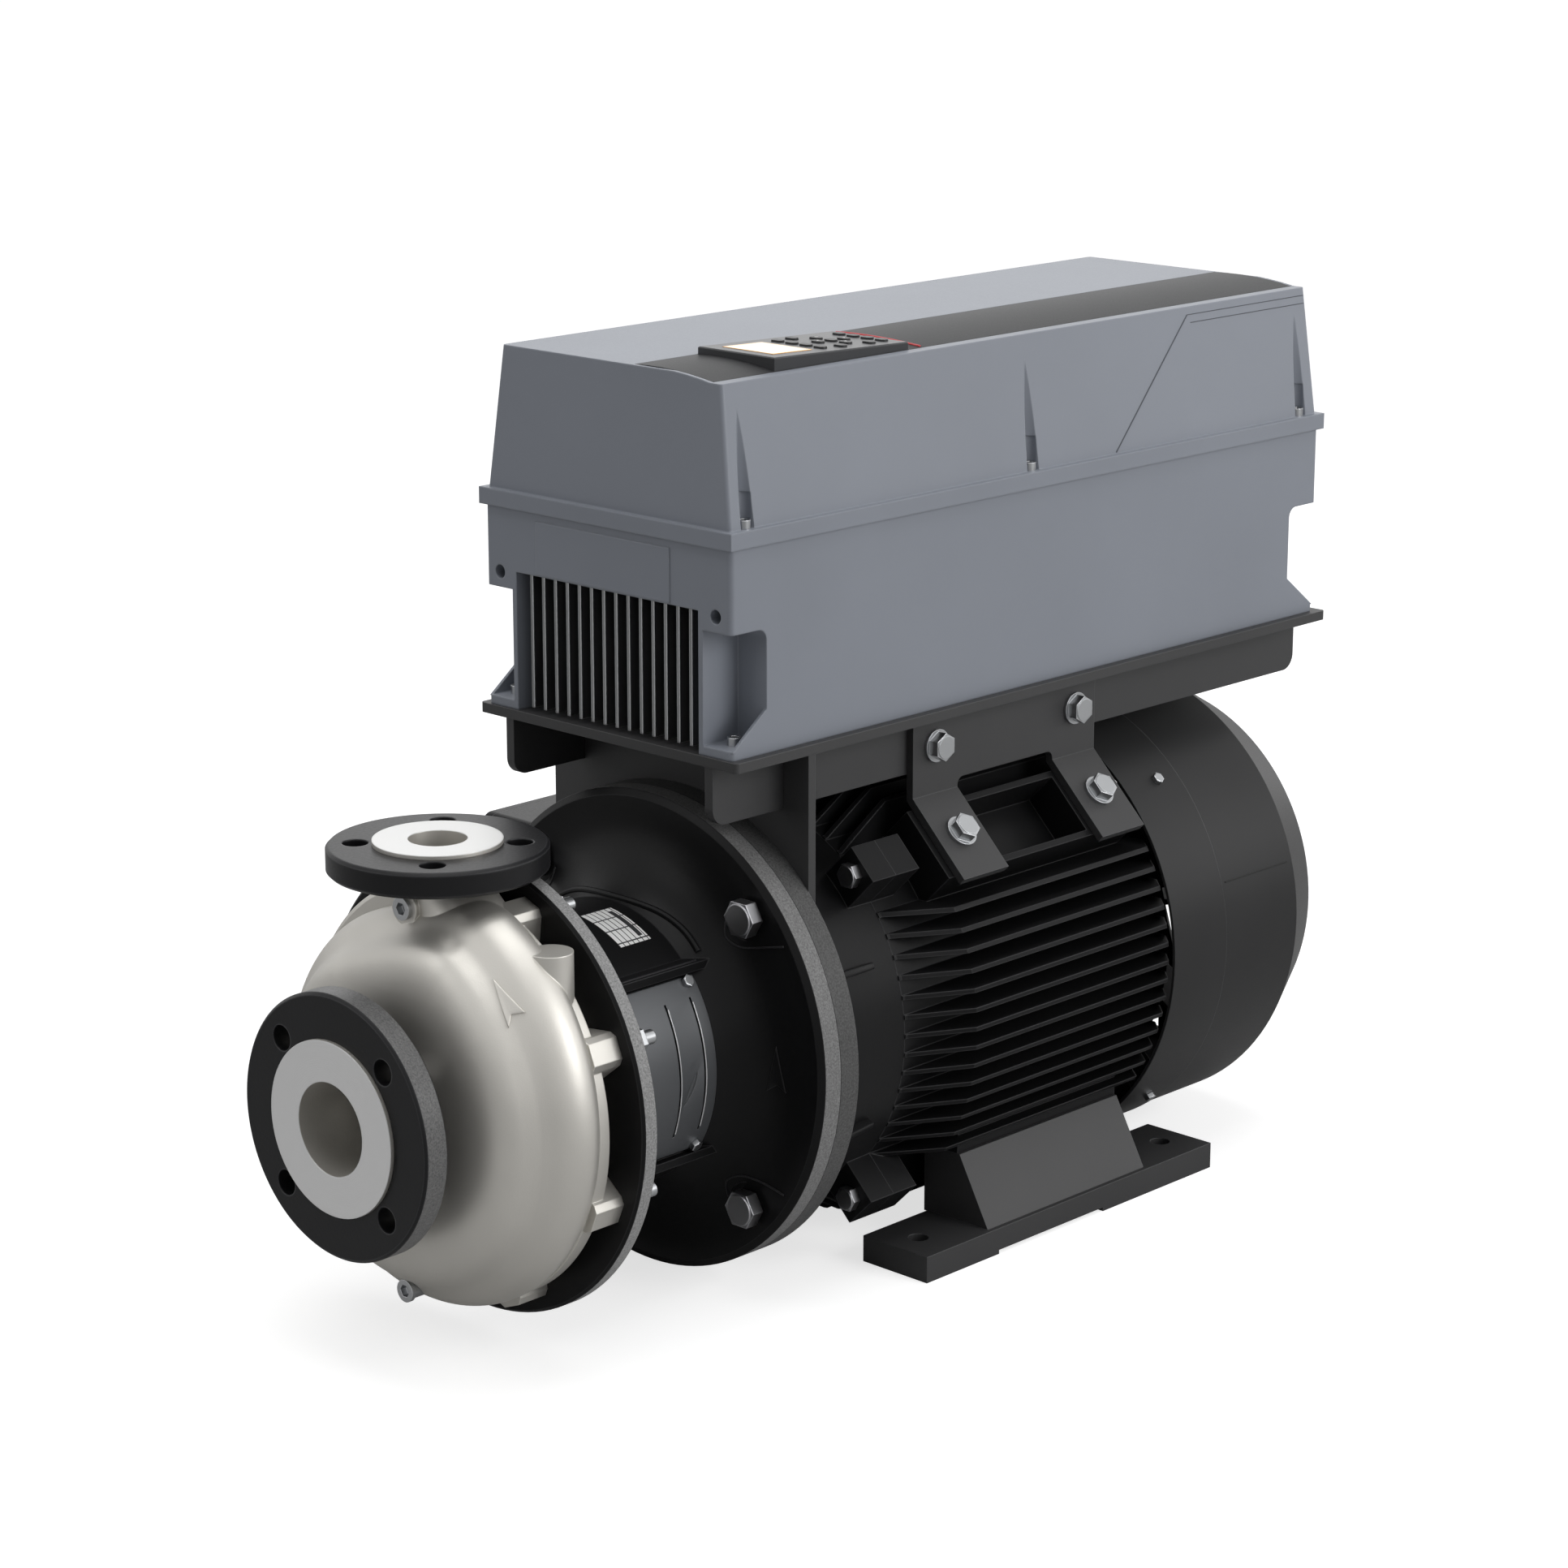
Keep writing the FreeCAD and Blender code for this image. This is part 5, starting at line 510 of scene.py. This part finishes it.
top = calc(tree, "GREATER_THAN", split.outputs["Z"], DISCHARGE_TOP - FACE_SKIN)
turned_mask = calc(tree, "MAXIMUM", front, top)
# The discharge face on top is painted lighter than the suction face in front, for the light from
# above.
face_color_lit_top = blend(tree, "RGBA", top, (0.77, 0.77, 0.77, 1.0), (0.82, 0.82, 0.81, 1.0))
overlay(cast_steel, "Base Color", turned_mask, face_color_lit_top)
overlay(cast_steel, "Roughness", turned_mask, TURNED_ROUGHNESS)
rings = []
for axis_name, centre in (("Y", (0.0, 0.0, SHAFT_HEIGHT)), ("Z", (0.0, DISCHARGE_STATION, 0.0))):
    shift = tree.nodes.new("ShaderNodeMapping")
    shift.inputs["Location"].default_value = tuple(-value for value in centre)
    ring = tree.nodes.new("ShaderNodeTexWave")
    ring.wave_type = "RINGS"
    ring.rings_direction = axis_name
    ring.inputs["Scale"].default_value = RING_SCALE
    ring.inputs["Distortion"].default_value = 0.6
    tree.links.new(place.outputs["Object"], shift.inputs["Vector"])
    tree.links.new(shift.outputs["Vector"], ring.inputs["Vector"])
    rings.append(ring.outputs["Fac"])
rings_here = calc(tree, "MULTIPLY", blend(tree, "FLOAT", top, *rings), turned_mask)
lathe = tree.nodes.new("ShaderNodeBump")
lathe.inputs["Distance"].default_value = 0.00005
lathe.inputs["Strength"].default_value = 0.6
tree.links.new(rings_here, lathe.inputs["Height"])
tree.links.new(shader.inputs["Normal"].links[0].from_socket, lathe.inputs["Normal"])
tree.links.new(lathe.outputs["Normal"], shader.inputs["Normal"])
metal = tree.nodes.new("ShaderNodeMapRange")
metal.inputs["To Min"].default_value = CAST_METALLIC
metal.inputs["To Max"].default_value = TURNED_METALLIC
tree.links.new(turned_mask, metal.inputs["Value"])
tree.links.new(metal.outputs["Result"], shader.inputs["Metallic"])
wear(cast_steel, "volute_casing", "casing_cover", "impeller")
print("casing finish has", len(tree.nodes), "nodes")

# %% [markdown]
# ## The operating panel
#
# The strip and the panel are moulded plastic. The strip is matt, and the panel is a little smoother
# than the paint around it. The keys are soft and darker. The display glows, because its back light is
# on, and the glow turns to a deeper amber in a narrow band along its four edges. That band comes from
# how far a point lies from the middle of the glass, as a share of the half width or the half length,
# whichever is larger.

# %% Finishes of the panel
strip_plastic = finish("strip_plastic", (0.026, 0.0265, 0.028), 0.5, drift=0.04, grain_scale=900.0,
                       grain_depth=0.00001, gloss=0.18)
wear(strip_plastic, "top_strip")
panel_plastic = finish("panel_plastic", (0.040, 0.041, 0.044), 0.36, drift=0.04, grain_scale=900.0,
                       grain_depth=0.00001, edge_radius=0.0006, gloss=0.34)
wear(panel_plastic, "control_panel")
key_rubber = finish("key_rubber", (0.012, 0.012, 0.013), 0.42, grain_scale=1200.0, edge_radius=0.0008,
                    edge_color=(0.05, 0.05, 0.052))
wear(key_rubber, *[name for name in nodes if name.startswith("key_")])
glow = bpy.data.materials.new("display_glow")
glow.use_nodes = True
tree = glow.node_tree
shader = tree.nodes["Principled BSDF"]
shader.inputs["Roughness"].default_value = 0.15
shader.inputs["Specular IOR Level"].default_value = 0.25
shader.inputs["Emission Strength"].default_value = 0.12
low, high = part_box("display_window")
place = tree.nodes.new("ShaderNodeTexCoord")
centred = tree.nodes.new("ShaderNodeMapping")
half = [(b - a) / 2 for a, b in zip(low, high)]
centred.inputs["Location"].default_value = tuple(
    -(a + b) / 2 / h for a, b, h in zip(low, high, half))
centred.inputs["Scale"].default_value = tuple(1 / h for h in half)
parts = tree.nodes.new("ShaderNodeSeparateXYZ")
band = tree.nodes.new("ShaderNodeMapRange")
band.inputs["From Min"].default_value = 0.86
band.inputs["From Max"].default_value = 0.99
tree.links.new(place.outputs["Object"], centred.inputs["Vector"])
tree.links.new(centred.outputs["Vector"], parts.inputs[0])
across, along = (calc(tree, "ABSOLUTE", parts.outputs[axis]) for axis in "XY")
tree.links.new(calc(tree, "MAXIMUM", across, along), band.inputs["Value"])
warm = blend(tree, "RGBA", band.outputs["Result"], (0.70, 0.65, 0.50, 1.0), (0.85, 0.42, 0.08, 1.0))
tree.links.new(warm, shader.inputs["Emission Color"])
tree.links.new(warm, shader.inputs["Base Color"])
wear(glow, "display_window")
print("panel finishes ready")

# %% [markdown]
# ## Placing small things on a casting
#
# A cast arrow or a rating plate has to lie on a surface that is curved in two directions. Instead of
# guessing heights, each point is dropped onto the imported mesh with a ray, as a plumb line would find
# it. The helper works in the pump's own millimetres: across the shaft, back from the suction face and
# up from the shaft, because those are the numbers that can be read off the real machine.


# %% Drop a point onto a node
def spot(across, back, up):
    """A place in metres from pump millimetres."""
    return Vector((across / 1000, SUCTION_FACE + back / 1000, SHAFT_HEIGHT + up / 1000))


def outward(turn):
    """The way out from the shaft at an angle in degrees."""
    angle = math.radians(turn)
    return Vector((math.cos(angle), 0.0, math.sin(angle)))


def drop(node, start, way):
    """Where a ray from start meets a node, and how the surface faces there."""
    hit, place, normal = nodes[node].ray_cast(start, Vector(way).normalized())[:3]
    if not hit:
        raise ValueError("no surface of " + node + " below " + str(start))
    return place, normal


bpy.context.view_layer.update()
print("barrel top found at", drop("motor_stool", spot(0, 230, 200), (0, 0, -1))[0])

# %% [markdown]
# ## Cast arrows
#
# The casing carries a raised arrowhead that shows which way the impeller turns, and the stool has a
# fainter one on its bell. Each is a dart of four corners. A plane gives the four corners, a split from
# the tip to the notch makes two triangles so that the hollow back of the dart stays clean, and a
# subdivision gives it enough points to follow the curve. Shrinkwrap presses it on and Solidify lifts
# its wall, as a pattern maker's glued-on mark would.


# %% An arrowhead pressed onto a casting
def finish_piece(piece, material, body="frame"):
    """What every new piece needs: outward faces, a finish and a body to ride on."""
    bpy.ops.object.mode_set(mode="EDIT")
    bpy.ops.mesh.select_all(action="SELECT")
    bpy.ops.mesh.normals_make_consistent(inside=False)
    bpy.ops.object.mode_set(mode="OBJECT")
    bpy.ops.object.shade_smooth_by_angle(angle=math.radians(35))
    piece.data.materials.clear()
    piece.data.materials.append(material)
    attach(piece, body)


def apply_modifier(piece, kind, **settings):
    """Add a modifier with its settings and apply it."""
    modifier = piece.modifiers.new(kind.lower(), kind)
    for label, value in settings.items():
        setattr(modifier, label, value)
    bpy.ops.object.modifier_apply(modifier=modifier.name)


def press_on(piece, node, lift):
    """Press a flat sheet onto a node along the sheet's own normal, then give it its wall."""
    apply_modifier(piece, "SHRINKWRAP", target=nodes[node], wrap_method="PROJECT",
                   use_positive_direction=True, use_negative_direction=True)
    apply_modifier(piece, "SOLIDIFY", thickness=lift * 2, offset=0.0)


def cast_arrow(name, node, corners, lift, material):
    """A raised dart; corners are its tip, one barb, its notch and the other barb."""
    bpy.ops.object.select_all(action="DESELECT")
    bpy.ops.mesh.primitive_plane_add(size=0.01, location=(0, 0, 0))
    arrow = bpy.context.object
    arrow.name = name
    tip, barb, notch, other = [spot(*corner) for corner in corners]
    for vertex, place in zip((0, 1, 3, 2), (tip, barb, notch, other)):
        arrow.data.vertices[vertex].co = place
    bpy.ops.object.mode_set(mode="EDIT")
    bpy.ops.mesh.select_all(action="SELECT")
    bpy.ops.mesh.quads_convert_to_tris(quad_method="FIXED")
    bpy.ops.mesh.subdivide(number_cuts=7)
    bpy.ops.object.mode_set(mode="OBJECT")
    press_on(arrow, node, lift)
    apply_modifier(arrow, "BEVEL", width=0.0004, segments=2, limit_method="ANGLE")
    finish_piece(arrow, material)
    return arrow


turning_arrow = cast_arrow("casing_arrow", "volute_casing",
                           [(91, 65, 110), (117, 68, 92), (109, 64, 89.5), (110, 62, 81)],
                           0.0018, cast_steel)
bell_arrow = cast_arrow("bell_arrow", "motor_stool",
                        [(134, 286, 19), (127.5, 284, -14), (134.5, 287, -9), (141, 289, -14)],
                        0.0009, black_casting)
for piece in (turning_arrow, bell_arrow):
    print(piece.name, "has", len(piece.data.vertices), "points")

# %% [markdown]
# ## Rating plate
#
# A thin bright plate wraps the barrel beside the window. It is left bare of words: only the ruled
# fields that such a plate is printed with are there. A plane is subdivided in edit mode, pressed onto
# the barrel and given 1 mm of wall. Its ruled lines come from the plane's own UV map through a brick
# pattern with no offset between its rows, because its joints make just such a table. A dark head bar
# closes it along one long side: four comparisons of U and V, multiplied together, mask that bar.

# %% Make the plate and its ruled finish
bpy.ops.object.select_all(action="DESELECT")
PLATE_TURN = 71.0
PLATE_LENGTH = 0.0425
PLATE_WIDTH = 0.029
PLATE_LIFT = 0.0005
bpy.ops.mesh.primitive_plane_add(size=1.0, location=(0, 0, 0))
plate = bpy.context.object
plate.name = "rating_plate"
out_way = outward(PLATE_TURN)
along_way = Vector((out_way.z, 0.0, -out_way.x))
middle = spot(0, 231.5, 0) + out_way * (BARREL_RADIUS + 0.004)
for vertex in plate.data.vertices:
    u, v = vertex.co.x, vertex.co.y
    vertex.co = middle + along_way * (u * PLATE_LENGTH) + Vector((0.0, v * PLATE_WIDTH, 0.0))
bpy.ops.object.mode_set(mode="EDIT")
bpy.ops.mesh.select_all(action="SELECT")
bpy.ops.mesh.subdivide(number_cuts=15)
bpy.ops.object.mode_set(mode="OBJECT")
press_on(plate, "motor_stool", PLATE_LIFT)
plate_metal = finish("ruled_plate", (0.92, 0.92, 0.91), 0.34, metallic=0.1, drift=0.05,
                     grain_scale=800.0, grain_depth=0.000005, edge_radius=0.0003)
tree = plate_metal.node_tree
chart = tree.nodes.new("ShaderNodeUVMap")
chart.uv_map = plate.data.uv_layers[0].name
rules = tree.nodes.new("ShaderNodeTexBrick")
rules.offset = 0.0
rules.inputs["Scale"].default_value = 1.0
rules.inputs["Brick Width"].default_value = 0.31
rules.inputs["Row Height"].default_value = 0.155
rules.inputs["Mortar Size"].default_value = 0.014
rules.inputs["Mortar Smooth"].default_value = 0.1
halves = tree.nodes.new("ShaderNodeSeparateXYZ")
tree.links.new(chart.outputs["UV"], halves.inputs[0])
bar = 1.0
for axis, operation, limit in (("X", "GREATER_THAN", 0.12), ("X", "LESS_THAN", 0.88),
                               ("Y", "GREATER_THAN", 0.74), ("Y", "LESS_THAN", 0.88)):
    bar = calc(tree, "MULTIPLY", bar, calc(tree, operation, halves.outputs[axis], limit))
tree.links.new(chart.outputs["UV"], rules.inputs["Vector"])
inked = calc(tree, "MAXIMUM", bar, rules.outputs["Fac"])
overlay(plate_metal, "Base Color", inked, (0.045, 0.045, 0.048, 1.0))
finish_piece(plate, plate_metal)
print("rating plate spans", tuple(round(size * 1000, 1) for size in plate.dimensions), "mm")

# %% [markdown]
# ## Beads and seams
#
# Where the barrel runs into the bell the pattern leaves a round bead, each bolt pad on the bell has
# its raised rim, the cut slots of the guards shine along their edge, and the drive cover and the fan
# cowl show their seams. All are lines with a small round section, so one helper makes them from a
# path: the path gets a bevel depth and is then turned into a mesh. Its points come from rays, so that
# it follows the surface.


# %% A round line along given places
def bead(name, places, radius, material, body="frame"):
    """A finished round line of a given radius through the places."""
    bpy.ops.object.select_all(action="DESELECT")
    bpy.ops.curve.primitive_nurbs_path_add(location=(0, 0, 0))
    line = bpy.context.object
    line.name = name
    path = line.data.splines[0]
    path.points.add(len(places) - len(path.points))
    for point, place in zip(path.points, places):
        point.co = (*place, 1.0)
    path.order_u = 3
    path.use_endpoint_u = True
    line.data.bevel_depth = radius
    line.data.bevel_resolution = 3
    line.data.use_fill_caps = True
    bpy.ops.object.convert(target="MESH")
    bpy.ops.object.mode_set(mode="EDIT")
    bpy.ops.mesh.select_all(action="SELECT")
    bpy.ops.mesh.remove_doubles(threshold=0.00001)
    bpy.ops.object.mode_set(mode="OBJECT")
    finish_piece(line, material, body)
    return line


OUTSIDE = 0.16


def round_barrel(turn, back, node="motor_stool"):
    """A node's surface at an angle round the shaft and a distance back."""
    way = outward(turn)
    return drop(node, spot(0, back, 0) + way * OUTSIDE, -way)[0]


arch_turns = [46, 50, 57, 67, 78, 90, 102, 113, 123, 130, 134]
arch_backs = [269, 269.5, 269.5, 267.5, 263.5, 261.5, 263.5, 267.5, 269.5, 269.5, 269]
arch = bead("bell_bead", [round_barrel(turn, back) for turn, back in zip(arch_turns, arch_backs)],
            0.0026, black_casting)
print("bead runs from", tuple(round(value, 3) for value in arch.data.vertices[0].co))

# %% Rims of the bolt pads and rounded edges of the window rails
PAD_RIM = [(86.6, 103), (86.6, 91.8), (92.7, 86), (101.2, 83.2), (111.3, 84.6), (124, 87.4),
           (137.2, 90.4)]
corners = [(1, 1), (1, -1), (-1, 1), (-1, -1)]
for index, (side, level) in enumerate(corners):
    rim = [drop("motor_stool", spot(across * side, 200, up * level), (0, 1, 0))[0]
           for across, up in PAD_RIM]
    bead("pad_rim_%d" % index, rim, 0.0008, black_flange)
for side, label in ((1, "right"), (-1, "left")):
    edge_line = [drop("motor_stool", spot(80.6 * side, back, 110), (0, 0, -1))[0]
                 for back in (172, 190, 208, 226, 244, 262)]
    bead("rail_edge_" + label, edge_line, 0.001, black_flange)
print("pad rims:", len(corners))

# %% [markdown]
# ## Ribs behind the motor flange
#
# Six ribs stiffen the flange of the drive-end shield. The solid has their roots, which the flange
# hides from the front. The part that shows runs further back and dies out on the shield. A cube is
# the start: each of its corners goes to a distance from the shaft, a station and a step sideways, the
# far end lower than the near one, and a bevel rounds what would otherwise be knife edges.

# %% Six ribs with a sloping crest
RIB_TURNS = (22.5, -22.5, -67.5, -112.5, -157.5, 157.5)
RIB_START = 326.5
RIB_END = 376
CREST_START = 0.161
CREST_END = 0.1555
RIB_ROOT = 0.146
RIB_HALF = 0.0026
for index, turn in enumerate(RIB_TURNS):
    bpy.ops.object.select_all(action="DESELECT")
    bpy.ops.mesh.primitive_cube_add(size=2.0, location=(0, 0, 0))
    rib = bpy.context.object
    rib.name = "shield_rib_%d" % index
    out_way = outward(turn)
    side_way = Vector((-out_way.z, 0.0, out_way.x))
    for vertex in rib.data.vertices:
        outer, rear, side = (value > 0 for value in vertex.co)
        reach = (CREST_END if rear else CREST_START) if outer else RIB_ROOT
        vertex.co = (spot(0, RIB_END if rear else RIB_START, 0) + out_way * reach
                     + side_way * (RIB_HALF if side else -RIB_HALF))
    apply_modifier(rib, "BEVEL", width=0.0012, segments=3)
    finish_piece(rib, black_casting)
print("ribs:", len(RIB_TURNS))

# %% Bright cut edges of the guard slots
cut_edge = finish("cut_edge", (0.60, 0.61, 0.62), 0.32, metallic=0.4, grain_scale=900.0,
                  grain_depth=0.000004)
for side, label in ((0, "right"), (180, "left")):
    for index, back in enumerate((224.1, 248.1)):
        turns = [abs(side - turn) if side else turn for turn in (-21, -14, -7, 0, 7, 14, 21, 29)]
        line = [round_barrel(turn, back, "coupling_guards") for turn in turns]
        bead("slot_edge_%s_%d" % (label, index), line, 0.00045, cut_edge)

# %% The seams on the drive cover and the fan cowl, and the stripe behind the panel
seam_dark = finish("seam_shadow", (0.045, 0.050, 0.062), 0.6, grain_scale=900.0, grain_depth=0.000004)


def cover_side(back, up):
    """The cover's right side at a distance back and a height."""
    return drop("drive_cover", spot(160, back, up), (-1, 0, 0))[0]


seams = [[(662, 382), (680, 399.3), (709, 427.3), (738, 455.2), (755.5, 472)],
         [(756, 472), (790, 472), (830, 472), (870, 472), (899, 472)],
         [(759, 466), (790, 466), (830, 466), (870, 466), (899, 466)]]
for index, (seam, radius) in enumerate(zip(seams, (0.00055, 0.0003, 0.0003))):
    bead("cover_seam_%d" % index, [cover_side(*place) for place in seam], radius, seam_dark)
gap_black = finish("gap_black", (0.002, 0.002, 0.002), 0.8, grain_scale=900.0, grain_depth=0.000004)
for side, label in ((1, "right"), (-1, "left")):
    joint = [drop("fan_cowl", spot(210 * side, back, 47.5), (-side, 0, 0))[0]
             for back in (741, 760, 780, 800, 819)]
    bead("cowl_seam_" + label, joint, 0.0006, gap_black)
red_trim = finish("red_trim", (0.42, 0.015, 0.02), 0.4, grain_scale=900.0, grain_depth=0.000005)
stripe = [drop("top_strip", spot(across, 462.0 + 11.0 * ((across - 24) / 71) ** 2, 520),
               (0, 0, -1))[0] for across in (24.5, 36, 48, 60, 72, 84, 94.5)]
bead("red_stripe", stripe, 0.0011, red_trim)
print("seams and stripe laid")

# %% [markdown]
# ## Marks on the arrow keys
#
# Four keys round the middle one step through the menus. Each carries a small pale arrowhead. It rides
# on the body of its key, so it goes down with it when the key is pressed.

# %% Arrowheads on the four keys
mark_white = finish("mark_white", (0.62, 0.62, 0.60), 0.5, grain_scale=900.0, grain_depth=0.000004)
for name, turn in (("key_right", 0), ("key_down", 90), ("key_left", 180), ("key_up", 270)):
    low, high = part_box(name)
    middle = Vector(((low[0] + high[0]) / 2, (low[1] + high[1]) / 2, high[2]))
    bpy.ops.object.select_all(action="DESELECT")
    bpy.ops.mesh.primitive_circle_add(vertices=3, radius=0.0016, fill_type="NGON", location=middle)
    mark = bpy.context.object
    mark.name = name + "_mark"
    bpy.ops.transform.rotate(value=math.radians(90 - turn), orient_axis="Z", center_override=middle)
    bpy.ops.object.transform_apply(location=True, rotation=True, scale=True)
    apply_modifier(mark, "SOLIDIFY", thickness=0.0003, offset=0.0)
    finish_piece(mark, mark_white, name + "_body")

# %% List the nodes left without a finish
bare = [name for name, item in nodes.items() if not item.data.materials]
print("nodes without a finish:", bare)
